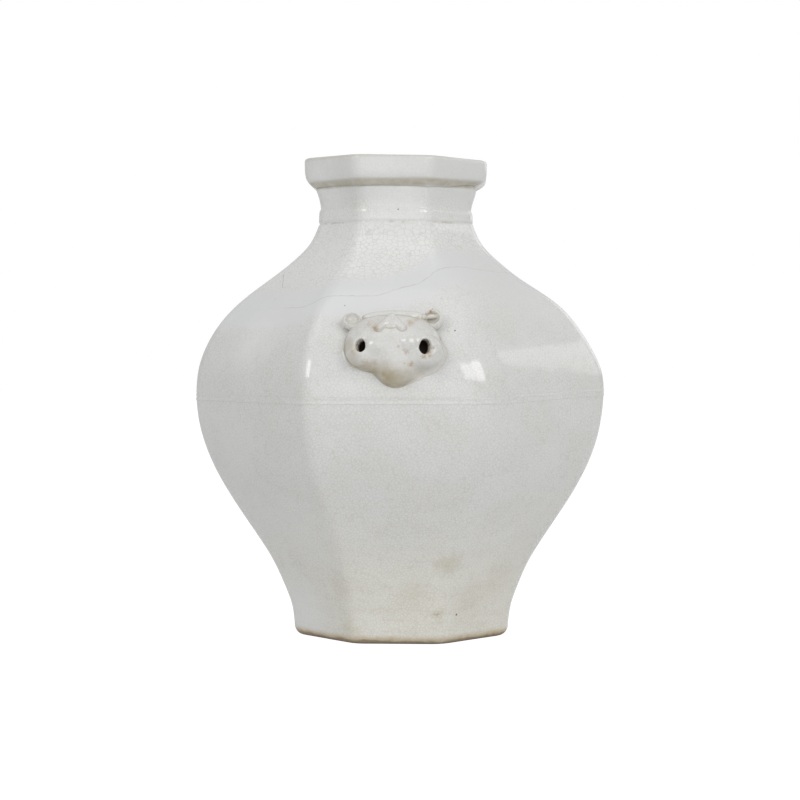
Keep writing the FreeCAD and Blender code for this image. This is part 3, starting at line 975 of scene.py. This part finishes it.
def makeFootRing():
    ring = footRing
    corner = bodyShape["footCorner"]
    inside = ring["half"] - ring["width"]
    ridge = bodyShape["leastCorner"]
    small = ring["innerRound"]
    profile = [outer(half, 0.0, corner) for half in ring["restRows"]]
    for out, up, *_ in bend((0.0, 0.0), 1.0, -90, 0, ring["wornSteps"], corner):
        half = ring["half"] - ring["wornWidth"] * (1.0 - out)
        profile.append(outer(half, ring["wornHeight"] * (1.0 + up), corner))
    profile += [outer(ring["half"], z, corner) for z in ring["sideRows"]]
    profile += upperEdge(ring["half"], ring["top"], corner)
    profile += [outer(half, ring["top"], corner) for half in ring["topRows"]]
    profile += [inner(half, ring["top"], ridge) for half in (ring["topInnerRow"], inside)]
    profile += [inner(inside, z, ridge) for z in ring["recessRows"]]
    profile += bend((inside + small, small), small, 180, 270, ring["innerSteps"], ridge)
    return shellPiece("footRing", profile, bodyGlaze, "bare_foot", "foot_ring")


makeFootRing()


# Base slab, moulded lower half and shoulder, and the strip between them

joints = {
    "stripLow": 168.5,
    "stripHigh": 173.5,
    "stripDepth": 3.2,
    "stripEdge": 0.9,
    # height and rise of the wiped strip, which left two faint lines
    "lines": [(168.5, 0.0), (168.8, 0.12), (169.3, 0.30), (169.8, 0.30), (170.4, 0.14), (171.2, 0.05),
              (172.0, 0.08), (172.6, 0.22), (173.0, 0.26), (173.5, 0.0)],
    "slabUnderRows": (0.0, 20.0, 40.0, 60.0, 70.0, 75.5),
    "slabTopRows": (76.5, 70.0, 60.0, 45.0, 30.0, 15.0, 0.0),
    "wallFootRow": 74.0,
    "wallTopRow": 52.0,
}


def makeBody():
    low = bodyShape["footRingTop"]
    slabTop = bodyShape["slabTop"]
    joint = bodyShape["jointRound"]
    slabCorner = cornerAt(slabTop)
    profile = [outer(half, low, innerCorner(cornerAt(low))) for half in joints["slabUnderRows"]]
    profile += lowerEdge(halfAt(low), low, cornerAt(low))
    profile += outsideRows(low + 2 * joint, slabTop - 2 * joint)
    profile += upperEdge(halfAt(slabTop), slabTop, slabCorner)
    profile += [inner(half, slabTop, innerCorner(slabCorner)) for half in joints["slabTopRows"]]
    shellPiece("baseSlab", profile, bodyGlaze, "body_glaze", "base_slab", closed=False)

    stripLow, stripHigh = joints["stripLow"], joints["stripHigh"]
    belly = bodyShape["bellyHeight"]
    edgeCorner = bodyShape["bellyCorner"] - joints["stripEdge"]
    lowEdge = outer(halfAt(stripLow) - joints["stripEdge"], stripLow, edgeCorner)
    highEdge = outer(halfAt(stripHigh) - joints["stripEdge"], stripHigh, edgeCorner)
    groove = outer(bodyShape["bellyHalf"] - joints["stripDepth"], belly,
                   bodyShape["bellyCorner"] - joints["stripDepth"])
    profile = lowerEdge(halfAt(slabTop), slabTop, slabCorner)
    profile += outsideRows(slabTop + 2 * joint, stripLow - 2 * joint)
    profile += upperEdge(halfAt(stripLow), stripLow, cornerAt(stripLow))
    profile += [lowEdge, groove]
    profile += insideRows(belly, slabTop)
    profile += [inner(joints["wallFootRow"], slabTop, innerCorner(slabCorner))]
    shellPiece("lowerBody", profile, bodyGlaze, "body_glaze", "lower_body")

    neckBase = bodyShape["neckBase"]
    profile = [groove, highEdge]
    profile += lowerEdge(halfAt(stripHigh), stripHigh, cornerAt(stripHigh))
    profile += outsideRows(stripHigh + 2 * joint, neckBase - 2 * joint)
    profile += upperEdge(halfAt(neckBase), neckBase, cornerAt(neckBase))
    profile += [outer(joints["wallTopRow"], neckBase, cornerAt(neckBase))]
    profile += insideRows(neckBase, belly)
    shellPiece("shoulderWall", profile, bodyGlaze, "body_glaze", "shoulder")

    profile = [outer(halfAt(z) + rise, z, cornerAt(z)) for z, rise in joints["lines"]]
    profile += [highEdge, groove, lowEdge]
    shellPiece("bellyStrip", profile, bodyGlaze, "body_glaze", "belly_luting_strip")


makeBody()


# Neck and lip

neck = {
    "waistHeight": 302.5,
    "waistHalf": 54.0,
    "topHalf": 57.8,
    "step": 0.5,
    # half width and height of the collar band and of the hollow above it
    "band": [(54.9, 294.2), (55.35, 295.4), (55.45, 297.0), (55.3, 300.2), (55.1, 302.0), (54.75, 303.0),
             (54.35, 303.6), (54.2, 304.6), (54.3, 306.0), (54.8, 309.2), (56.0, 313.6), (57.3, 317.6),
             (57.8, 319.5)],
    "bandSpacing": 0.45,
    "bandSpan": 12,
    "tenonRows": (322.0, 325.0),
    "throatSpacing": 2.2,
    "throatDown": 0.6,
    "tenonTop": 328.5,
    "lipBase": 319.5,
    "lipRoot": 59.0,
    "lipHalf": 65.4,
    "mouthHalf": 55.5,
    "jarTop": 339.9,
    "edgeRound": 2.6,
    "drop": 0.2,              # how far the wiped lip hangs below its joint
    "sag": 0.7,               # and a little more at the ridges
    "sagReach": 9.0,
    "lipShares": [(0.0, 0.0), (0.25, 0.28), (0.5, 0.52), (0.75, 0.71), (1.0, 0.84), (1.4, 0.93), (1.8, 0.97)],
    "lipUnder": 6.0,
    "lipStraight": 335.0,     # above this the lip stands upright
    "lipSpacing": 0.8,
    "lipBack": 0.6,           # how far the lip's lower edge goes in behind the neck's face
    "lipBackDrop": 0.8,
    "lipRows": (336.2, 337.0),
    "rimRows": (61.6, 60.4, 59.2),
    "rimSteps": 7,
    "lipInside": 54.5,
}


def throatKnots():
    base = bodyShape["neckBase"]
    wall = bodyShape["wall"]
    return np.array([(innerHalfAt(base), base), (neck["waistHalf"] - wall, neck["waistHeight"]),
                     (neck["topHalf"] - wall, neck["lipBase"]), (neck["mouthHalf"], neck["jarTop"])])


def makeNeck():
    base = bodyShape["neckBase"]
    corner = bodyShape["neckCorner"]
    throat = splineThrough(throatKnots())

    def throatRows(start, end):
        return [inner(float(np.interp(z, throat[:, 1], throat[:, 0])), z, innerCorner(corner))
                for z in rows(start, end, neck["throatSpacing"])]

    baseHalf = bodyShape["neckBaseHalf"] - neck["step"]
    waist = splineThrough(np.array([(baseHalf, base)] + neck["band"]), neck["bandSpan"])
    profile = lowerEdge(baseHalf, base, corner)
    profile += [outer(float(np.interp(z, waist[:, 1], waist[:, 0])), z, corner)
                for z in rows(base + 2 * bodyShape["jointRound"], neck["lipBase"], neck["bandSpacing"])]
    profile += [outer(neck["topHalf"], z, corner) for z in (*neck["tenonRows"], neck["tenonTop"])]
    profile += throatRows(neck["tenonTop"], base)
    shellPiece("neckWall", profile, bodyGlaze, "body_glaze", "neck")

    corner = bodyShape["lipCorner"]
    flare = splineThrough(np.array([
        (mixed(neck["lipRoot"], neck["lipHalf"], out), neck["lipBase"] + neck["lipUnder"] * up)
        for up, out in neck["lipShares"]] + [(neck["lipHalf"], neck["lipStraight"])]))
    edge = neck["edgeRound"]
    top = neck["jarTop"]
    drop = neck["drop"]
    profile = [outer(neck["topHalf"] - neck["lipBack"], neck["lipBase"] - drop * neck["lipBackDrop"], corner,
                     neck["sag"])]
    for z in rows(neck["lipBase"], neck["lipStraight"], neck["lipSpacing"]):
        left = max(0.0, 1 - (z - neck["lipBase"]) / neck["sagReach"])
        half = float(np.interp(z, flare[:, 1], flare[:, 0]))
        profile.append(outer(half, z - drop * left, corner, neck["sag"] * left))
    profile += [outer(neck["lipHalf"], z, corner) for z in neck["lipRows"]]
    profile += bend((neck["lipHalf"] - edge, top - edge), edge, 0, 90, neck["rimSteps"], corner)
    profile += [outer(half, top, corner) for half in neck["rimRows"]]
    mouth = (neck["mouthHalf"] + edge, top - edge)
    profile += bend(mouth, edge, 90, 180, neck["rimSteps"], innerCorner(corner))
    profile += throatRows(top - edge - neck["throatDown"], neck["tenonTop"])
    profile += [inner(neck["lipInside"], neck["tenonTop"], innerCorner(corner)),
                inner(neck["topHalf"], neck["tenonTop"], corner)]
    shellPiece("lipBand", profile, bodyGlaze, "body_glaze", "lip")


makeNeck()


# Coils thumbed over the joints inside

coils = {
    "edge": 0.9,
    "bellyHeight": 13.0,
    "bellyThick": 4.0,
    "neckHeight": 9.0,
    "neckThick": 3.0,
    "crown": 0.25,
    "baseSize": 8.0,
    "baseHollow": 0.67,
    "spacing": 1.5,
    "perSpan": 5,             # points between two knots of a coil's free side
    "basePerSpan": 8,
}


def throatHalf(height):
    if height < bodyShape["neckBase"]:
        return innerHalfAt(height)
    share = (height - bodyShape["neckBase"]) / (neck["waistHeight"] - bodyShape["neckBase"])
    return mixed(innerHalfAt(bodyShape["neckBase"]), neck["waistHalf"] - bodyShape["wall"], share)


def coilPiece(name, node, knots, perSpan, halfUp, corner):
    # a coil's free side through its knots, then down the wall that it was pressed on
    profile = [inner(half, z, corner) for half, z in splineThrough(np.array(knots), perSpan)]
    profile += [inner(halfUp(z), z, corner) for z in rows(knots[-1][1], knots[0][1], coils["spacing"])]
    shellPiece(name, profile, bodyGlaze, "inner_glaze", node)


def makeCoil(name, node, middle, tall, thick, corner):
    low, high = middle - tall / 2, middle + tall / 2
    lower, upper = middle - tall * coils["crown"], middle + tall * coils["crown"]
    knots = [(throatHalf(low) - coils["edge"], low), (throatHalf(lower) - thick, lower),
             (throatHalf(upper) - thick, upper), (throatHalf(high) - coils["edge"], high)]
    coilPiece(name, node, knots, coils["perSpan"], throatHalf, corner)


def makeBaseCoil():
    low = bodyShape["slabTop"]
    size = coils["baseSize"]
    middle = low + size / 2
    knots = [(innerHalfAt(low) - size, low),
             (innerHalfAt(middle) - size * (1 - coils["baseHollow"]), middle),
             (innerHalfAt(low + size) - coils["edge"], low + size)]
    coilPiece("baseCoil", "base_inner_coil", knots, coils["basePerSpan"], innerHalfAt,
              innerCorner(bodyShape["footCorner"]))


makeBaseCoil()
makeCoil("bellyCoil", "belly_inner_coil", bodyShape["bellyHeight"], coils["bellyHeight"], coils["bellyThick"],
         innerCorner(bodyShape["bellyCorner"]))
makeCoil("neckCoil", "neck_inner_coil", bodyShape["neckBase"], coils["neckHeight"], coils["neckThick"],
         innerCorner(bodyShape["neckCorner"]))
stage("shell")


# Beast masks, in a frame of their own: x to the right, y up the wall, z straight out of it

mask = {
    "height": 209.0,
    "face": (31.6, 21.6, 15.2),
    "leftCheek": (-17.6, -7.0, 1.2),
    "leftCheekRadius": 11.0,
    "rightCheek": (18.4, -7.4, 1.4),
    "rightCheekRadius": 11.4,
    "muzzlePlace": (2.2, -16.2, -2.6),
    "muzzleSize": (14.4, 12.6, 10.6),
    "bridgeTop": (-0.5, -3.0, 4.4),
    "bridgeEnd": (2.2, -17.0, -2.2),
    "bridgeRadius": 10.8,
    "browLeft": (-10.0, -2.6, 6.8),
    "browRight": (8.8, -2.2, 6.8),
    "browRadius": 8.2,
    "leftKnob": (-10.9, -6.4, 7.9),          # the brow stands up a little over each eye
    "leftKnobEnd": (-6.5, -4.3, 8.8),
    "rightKnob": (11.0, -4.8, 9.0),
    "rightKnobEnd": (13.4, -4.0, 7.8),
    "knobRadius": 8.0,
    "knobBlend": 2.4,
    "leftEye": (-20.4, -8.0, 4.0),
    "leftEyeSize": (10.2, 10.2, 9.0),
    "rightEye": (21.8, -8.6, 4.6),
    "rightEyeSize": (11.0, 11.0, 9.6),
    "leftDish": (-20.8, -8.4, 19.0),         # the ball that pressed each eye hollow
    "leftDishRadius": 7.4,
    "rightDish": (22.6, -9.4, 20.0),
    "rightDishRadius": 8.8,
    "dishBlend": 2.4,
    "leftHoleStart": (-20.9, -7.7, 12.0),
    "leftHole": (3.4, 4.6, 30.0),
    "leftHoleSlant": (0.5, 0.05, 0.0),       # how far the hole runs sideways as it goes in
    "rightHoleStart": (21.6, -8.6, 12.0),
    "rightHole": (3.9, 5.4, 30.0),
    "rightHoleSlant": (-0.45, 0.3, 0.0),
    "holeLip": 2.0,
    "lumps": 1.0,
    "lumpSize": 9.0,
    "crestPlace": (1.5, 16.4, 5.4),
    "crestSize": (22.0, 4.6, 5.6),
    "crestBlend": 1.6,
    "tuftTop": (-0.5, 11.6, 14.3),
    "tuftLeft": (-8.6, 2.8, 15.6),
    "tuftRight": (6.4, 3.3, 15.6),
    "tuftRadius": 2.7,
    "tuftFill": (-0.8, 6.0, 12.4),
    "tuftFillSize": (5.8, 5.8, 4.6),
    "tuftBlend": 1.5,
    "leftEarPlace": (-27.6, 14.7, 3.4),
    "leftEarSize": (6.4, 6.2, 4.8),
    "leftEarCup": (-26.7, 15.3, 8.4),
    "rightEarPlace": (26.6, 15.9, 3.4),
    "rightEarSize": (6.8, 7.4, 5.0),
    "rightEarCup": (25.9, 15.6, 8.6),
    "earCupRadius": 5.0,
    "earBlend": 0.7,
    "rightEarFold": (20.4, 15.6, 8.0),
    "rightEarFoldEnd": (28.0, 17.4, 5.6),
    "rightEarFoldRadius": 1.4,
    "wallThickness": 6.0,
    "skirt": 4.0,
    "skirtDepth": 1.2,
    "fillet": 2.2,
    "leftFillet": 2.6,                       # more, where the glaze fills the left and right edges
    "rightFillet": 9.0,
    "cheekBlend": 8.0,
    "noseBlend": 7.0,
    "creaseBlend": 6.0,
    "eyeBlend": 3.4,
    "trimBlend": 1.8,
    "low": (-40.5, -38.0, -8.0),
    "high": (41.0, 27.5, 22.0),
    "voxel": 0.5,
}

# how a mask is luted on, hollowed and pierced
luting = {
    "noseMiddle": 2.0,           # the nose's crease shows on both sides of it, low down
    "noseBeside": (7.0, 13.0),
    "noseBelow": (-6.0, -14.0),
    "noseShare": 0.6,
    "creaseNear": (1.6, 0.8),    # a crease counts only near the surface
    "cupNear": (0.9, 0.0),
    "cupShare": 0.35,
    "rightAcross": (8.0, 26.0),  # where the glaze filled the edges more
    "rightUp": (4.0, -6.0),
    "leftAcross": (-22.0, -30.0),
    "leftUp": (2.0, -6.0),
    "wallUnder": 0.14,           # the fillet runs out this far under the face of the wall
    "wallReach": 42.0,           # the stretch of wall behind a mask
    "wallPlaces": 60,
    "wallPower": 4,
    "holeFrom": 12.0,
    "holeTo": 2.0,
    "holeRadius": 3.6,
    "soft": 2.0,                 # how thick the volume's edge is
    "nudge": (0.013, 0.017, 0.011),
    "pull": 0.4,                 # the mesh is drawn to the exact form, at most this far each time
    "pulls": 2,
}
dipShare = 6.0                   # a smooth minimum dips by a sixth of its reach where two forms meet

maskHalf = halfAt(mask["height"])
maskLies = math.atan(-float(np.interp(mask["height"], outlineTable[:, 1], slopeTable)))


def easedShare(value):
    held = min(max(value, 0.0), 1.0)
    return held * held * (3 - 2 * held)


maskLean = firing["lean"] * easedShare((mask["height"] - firing["leanStart"])
                                       / (firing["leanEnd"] - firing["leanStart"]))


def maskForm(net, given, point):
    # signed distance of the filled form in millimetres, and how far a place lies in a crease of it
    def length(vector):
        return net.maths("LENGTH", vector)

    def ball(center, radius):
        return length(point - center) - radius

    def egg(center, size):
        away = point - center
        near = length(away / size)
        return near * (near - 1.0) / length(away / (size * size))

    def roll(start, end, radius):
        along = end - start
        square = net.maths("DOT_PRODUCT", along, along)
        share = net.clamp(net.maths("DOT_PRODUCT", point - start, along) / square)
        return length(point - start - along * share) - radius

    def blend(first, second, reach):
        return net.maths("SMOOTH_MIN", first, second, reach)

    creases = []

    def lute(first, second, reach):
        # joined with a soft crease, which is noted: 1 in its valley, 0 beside it
        both = blend(first, second, reach)
        dip = (first.smallest(second) - both) * dipShare / reach
        creases.append(dip * net.ramp(both, *luting["creaseNear"]))
        return both

    form = egg((0.0, 0.0, 0.0), given["face"])
    for side in ("left", "right"):
        form = blend(form, ball(given[side + "Cheek"], given[side + "CheekRadius"]), given["cheekBlend"])
        form = blend(form, egg(given[side + "Eye"], given[side + "EyeSize"]), given["eyeBlend"])
    muzzle = egg(given["muzzlePlace"], given["muzzleSize"])
    bridge = roll(given["bridgeTop"], given["bridgeEnd"], given["bridgeRadius"])
    brow = roll(given["browLeft"], given["browRight"], given["browRadius"])
    nose = blend(blend(muzzle, bridge, given["noseBlend"]), brow, given["noseBlend"])
    form = lute(form, nose, given["creaseBlend"])
    across, level, _ = net.split(point)
    beside = net.ramp(net.maths("ABSOLUTE", across - luting["noseMiddle"]), *luting["noseBeside"])
    creases[0] = creases[0] * beside * net.ramp(level, *luting["noseBelow"]) * luting["noseShare"]
    for side in ("left", "right"):
        form = -blend(-form, ball(given[side + "Dish"], given[side + "DishRadius"]), given["dishBlend"])
        knob = roll(given[side + "Knob"], given[side + "KnobEnd"], given["knobRadius"])
        form = blend(form, knob, given["knobBlend"])
    form = lute(form, egg(given["crestPlace"], given["crestSize"]), given["crestBlend"])
    tuft = blend(roll(given["tuftTop"], given["tuftLeft"], given["tuftRadius"]),
                 roll(given["tuftTop"], given["tuftRight"], given["tuftRadius"]), given["tuftBlend"])
    tuft = blend(tuft, egg(given["tuftFill"], given["tuftFillSize"]), given["tuftBlend"])
    form = lute(form, tuft, given["tuftBlend"])
    for side in ("left", "right"):
        cup = ball(given[side + "EarCup"], given["earCupRadius"])
        ear = -blend(-egg(given[side + "EarPlace"], given[side + "EarSize"]), cup, given["earBlend"])
        if side == "right":
            fold = roll(given["rightEarFold"], given["rightEarFoldEnd"], given["rightEarFoldRadius"])
            ear = lute(ear, fold, given["earBlend"])
        # the hollow of each ear cup counts as a crease, darkened partly as painted shade
        creases.append(net.ramp(cup, *luting["cupNear"]) * luting["cupShare"])
        form = lute(form, ear, given["trimBlend"])
    lump = net.noise(point, given["lumpSize"], 1.0) - 0.5
    return form + lump * given["lumps"], net.clamp(creases[0].largest(*creases[1:]))


def wallBehind(height):
    # half width of the jar behind a mask, as a polynomial of the height
    near = np.linspace(-luting["wallReach"], luting["wallReach"], luting["wallPlaces"])
    fitted = np.polyfit(near, [halfAt(mask["height"] + rise) for rise in near], luting["wallPower"])
    half = float(fitted[0])
    for value in fitted[1:]:
        half = half * height + float(value)
    return half


def pierced(net, given, solid, point, out):
    # a slanting hole at each eye
    for name in ("left", "right"):
        slant = given[name + "HoleSlant"] * (luting["holeFrom"] - out)
        away = (point - given[name + "HoleStart"] - slant) * net.join(1.0, 1.0, 0.0)
        hole = (net.maths("LENGTH", away / given[name + "Hole"]) - 1.0) * luting["holeRadius"]
        hole = hole.largest(luting["holeTo"] - out)
        solid = -net.maths("SMOOTH_MIN", -solid, hole, given["holeLip"])
    return solid


def beastMaskTree():
    net = Net(bpy.data.node_groups.new("beastMask", "GeometryNodeTree"))
    kinds = [(name, "Vector" if isinstance(value, tuple) else "Float", value) for name, value in mask.items()]
    kinds += [("Side", "Float", 1.0), ("Uneven", "Float", firing["uneven"] * mm),
              ("Ripple", "Float", firing["ripple"] * mm), ("Bulge", "Float", firing["bulge"] * mm),
              ("Finish", "Material", None)]
    given = treeInputs(net, kinds, "Mask")
    point = net.node("GeometryNodeInputPosition") * toMm + luting["nudge"]
    across, up, out = net.split(point)
    # where that is on the jar, in millimetres
    side = given["Side"]
    placeX = side * across + maskLean
    outward = maskHalf - up * math.sin(maskLies) + out * math.cos(maskLies)
    height = given["height"] + up * math.cos(maskLies) + out * math.sin(maskLies)
    place = net.join(placeX, side * outward * -1.0, height)
    # the wall behind it
    wallHalf = wallBehind(height - given["height"])
    leaning = net.ramp(height, firing["leanStart"], firing["leanEnd"]) * firing["lean"]
    fromAxis = placeX - leaning
    slanted = net.maths("SQRT", fromAxis * fromAxis + wallHalf * wallHalf)
    level = net.join(fromAxis * wallHalf / slanted, side * wallHalf * wallHalf / slanted * -1.0, height) * mm
    wall = (outward - wallHalf - wallWander(net, level, given) * toMm) * math.cos(maskLies)
    form, crease = maskForm(net, given, point)
    # luted on: filleted down into the wall, and a little skirt sunk in it
    fillet = given["fillet"] \
        + net.ramp(across, *luting["rightAcross"]) * net.ramp(up, *luting["rightUp"]) * given["rightFillet"] \
        + net.ramp(across, *luting["leftAcross"]) * net.ramp(up, *luting["leftUp"]) * given["leftFillet"]
    solid = net.maths("SMOOTH_MIN", form, wall + luting["wallUnder"], fillet)
    solid = solid.largest(-(wall + given["skirtDepth"]), form - given["skirt"])
    # hollow behind, and pierced at the eyes
    solid = pierced(net, given, solid.largest(-(form + given["wallThickness"])), point, out)
    countX, countY, countZ = net.split((given["high"] - given["low"]) / given["voxel"])
    volume = net.node("GeometryNodeVolumeCube", None, {
        "Density": net.clamp(0.5 - solid / luting["soft"]), "Background": 0.0,
        "Min": given["low"] * mm, "Max": given["high"] * mm,
        "Resolution X": countX, "Resolution Y": countY, "Resolution Z": countZ})
    shape = net.node("GeometryNodeVolumeToMesh", {"resolution_mode": "GRID"},
                     {"Volume": volume, "Threshold": 0.5})
    normal = net.node("GeometryNodeInputNormal")
    for _ in range(luting["pulls"]):
        held = net.clamp(solid, -luting["pull"], luting["pull"])
        shape = moved(net, shape, Offset=normal * (held * -mm))
    _, facingUp, _ = net.split(normal)
    for name, value in (("crease", crease), ("inset", -form), ("contact", wall), ("under", -facingUp)):
        shape = noted(net, shape, name, value)
    shape = moved(net, noted(net, shape, "modelled", point, "FLOAT_VECTOR"), Position=place * mm)
    return finishTree(net, smoothed(net, shape), given["Finish"], "Mask")


def makeMask(name, side, nodePrefix, tree):
    piece = settled(name, bpy.data.meshes.new(name + "Start"), tree, {"Side": side, "Finish": maskGlaze})
    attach(piece, "root")
    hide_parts(*[nodePrefix + part for part in (
        "face", "muzzle", "tuft", "crest", "left_eye", "right_eye", "left_ear", "right_ear")])
    return piece


maskTree = beastMaskTree()
makeMask("frontMask", 1.0, "front_mask_", maskTree)
makeMask("backMask", -1.0, "back_mask_", maskTree)
stage("masks")


# Camera, lamps, floor

view = {
    "lens": 86.0,
    "sensor": 36.0,
    "place": (48.6, -1393.2, 213.2),
    "aim": (-1.6, 0.0, 167.3),
    "clip": (0.05, 50.0),       # in metres
}

lamps = {
    # angle round from the front, angle up, distance, width, height in metres, brightness
    "leftSoftbox": (-39.0, 27.0, 1.7, 0.62, 0.55, 4.4),
    "highLeft": (-62.0, 60.0, 1.8, 0.9, 0.9, 0.6),
    "rightSoftbox": (43.0, 27.0, 1.7, 0.40, 0.66, 4.8),
    "rightPanel": (24.0, 27.0, 1.7, 0.56, 0.54, 3.64),
    "frontPanel": (6.0, 2.0, 1.9, 1.5, 0.8, 0.8),
    "sideSoftbox": (103.0, 24.0, 1.8, 0.6, 0.7, 1.2),
    "backSoftbox": (138.0, 22.0, 1.8, 0.9, 0.9, 0.9),
    "topSoftbox": (0.0, 80.0, 1.7, 1.4, 1.4, 0.5),
}
lampsAim = (0.0, 0.0, 0.17)
fillLight = 0.345
mirrored = 0.55     # how much of the white background the glaze mirrors

paper = {
    "size": 6.0,
    "height": -0.0002,
    "color": (0.82, 0.82, 0.82, 1.0),
    "roughness": 0.9,
    "glow": 1.25,
    "glowShare": 0.8,
}
white = (1.0, 1.0, 1.0, 1.0)


def lookAt(item, target):
    item.rotation_euler = (Vector(target) - item.location).to_track_quat("-Z", "Y").to_euler()


def makeCamera():
    data = bpy.data.cameras.new("camera")
    camera = bpy.data.objects.new("camera", data)
    bpy.context.scene.collection.objects.link(camera)
    data.lens = view["lens"]
    data.sensor_width = view["sensor"]
    data.clip_start, data.clip_end = view["clip"]
    camera.location = [value * mm for value in view["place"]]
    lookAt(camera, [value * mm for value in view["aim"]])
    bpy.context.scene.camera = camera


def makeLamps():
    for name, (around, up, distance, wide, tall, brightness) in lamps.items():
        data = bpy.data.lights.new(name, "AREA")
        data.shape = "RECTANGLE"
        data.size = wide
        data.size_y = tall
        data.energy = brightness * math.pi * wide * tall
        lamp = bpy.data.objects.new(name, data)
        bpy.context.scene.collection.objects.link(lamp)
        turn, rise = math.radians(around), math.radians(up)
        lamp.location = (distance * math.sin(turn) * math.cos(rise),
                         -distance * math.cos(turn) * math.cos(rise), lampsAim[2] + distance * math.sin(rise))
        lookAt(lamp, lampsAim)


def whiteShown(net):
    # the share of the white background that a ray sees
    rays = net.put("ShaderNodeLightPath").outputs
    return net.clamp(Wire(net, rays["Is Camera Ray"]) + Wire(net, rays["Is Glossy Ray"]) * mirrored
                     + Wire(net, rays["Is Transmission Ray"]))


def makeWorld():
    world = bpy.data.worlds.new("studio")
    bpy.context.scene.world = world
    world.use_nodes = True
    net = Net(world.node_tree)
    net.tree.nodes.clear()
    fill = net.node("ShaderNodeBackground", None, {"Color": white, "Strength": fillLight})
    shown = net.node("ShaderNodeBackground", None, {"Color": white, "Strength": 1.0})
    both = net.node("ShaderNodeMixShader", None, {0: whiteShown(net), 1: fill, 2: shown})
    net.put("ShaderNodeOutputWorld", None, {"Surface": both})


def makeFloor():
    mesh = bpy.data.meshes.new("floor")
    size = paper["size"]
    corners = [(-size, -size, 0), (size, -size, 0), (size, size, 0), (-size, size, 0)]
    mesh.from_pydata(corners, [], [(0, 1, 2, 3)])
    floor = bpy.data.objects.new("floor", mesh)
    bpy.context.scene.collection.objects.link(floor)
    floor.location.z = paper["height"]
    material, net, shader = newMaterial("paper")
    shader.inputs["Base Color"].default_value = paper["color"]
    shader.inputs["Roughness"].default_value = paper["roughness"]
    glow = net.node("ShaderNodeEmission", None, {"Color": white, "Strength": paper["glow"]})
    both = net.node("ShaderNodeMixShader", None, {
        0: whiteShown(net) * paper["glowShare"], 1: Wire(net, shader.outputs["BSDF"]), 2: glow})
    leave = next(node for node in net.tree.nodes if node.type == "OUTPUT_MATERIAL")
    net.tree.links.new(both.socket, leave.inputs["Surface"])
    mesh.materials.append(material)


makeCamera()
makeLamps()
makeWorld()
makeFloor()
bpy.context.scene.view_settings.view_transform = "Standard"
stage("camera, lamps and floor")

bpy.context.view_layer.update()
stage("done")
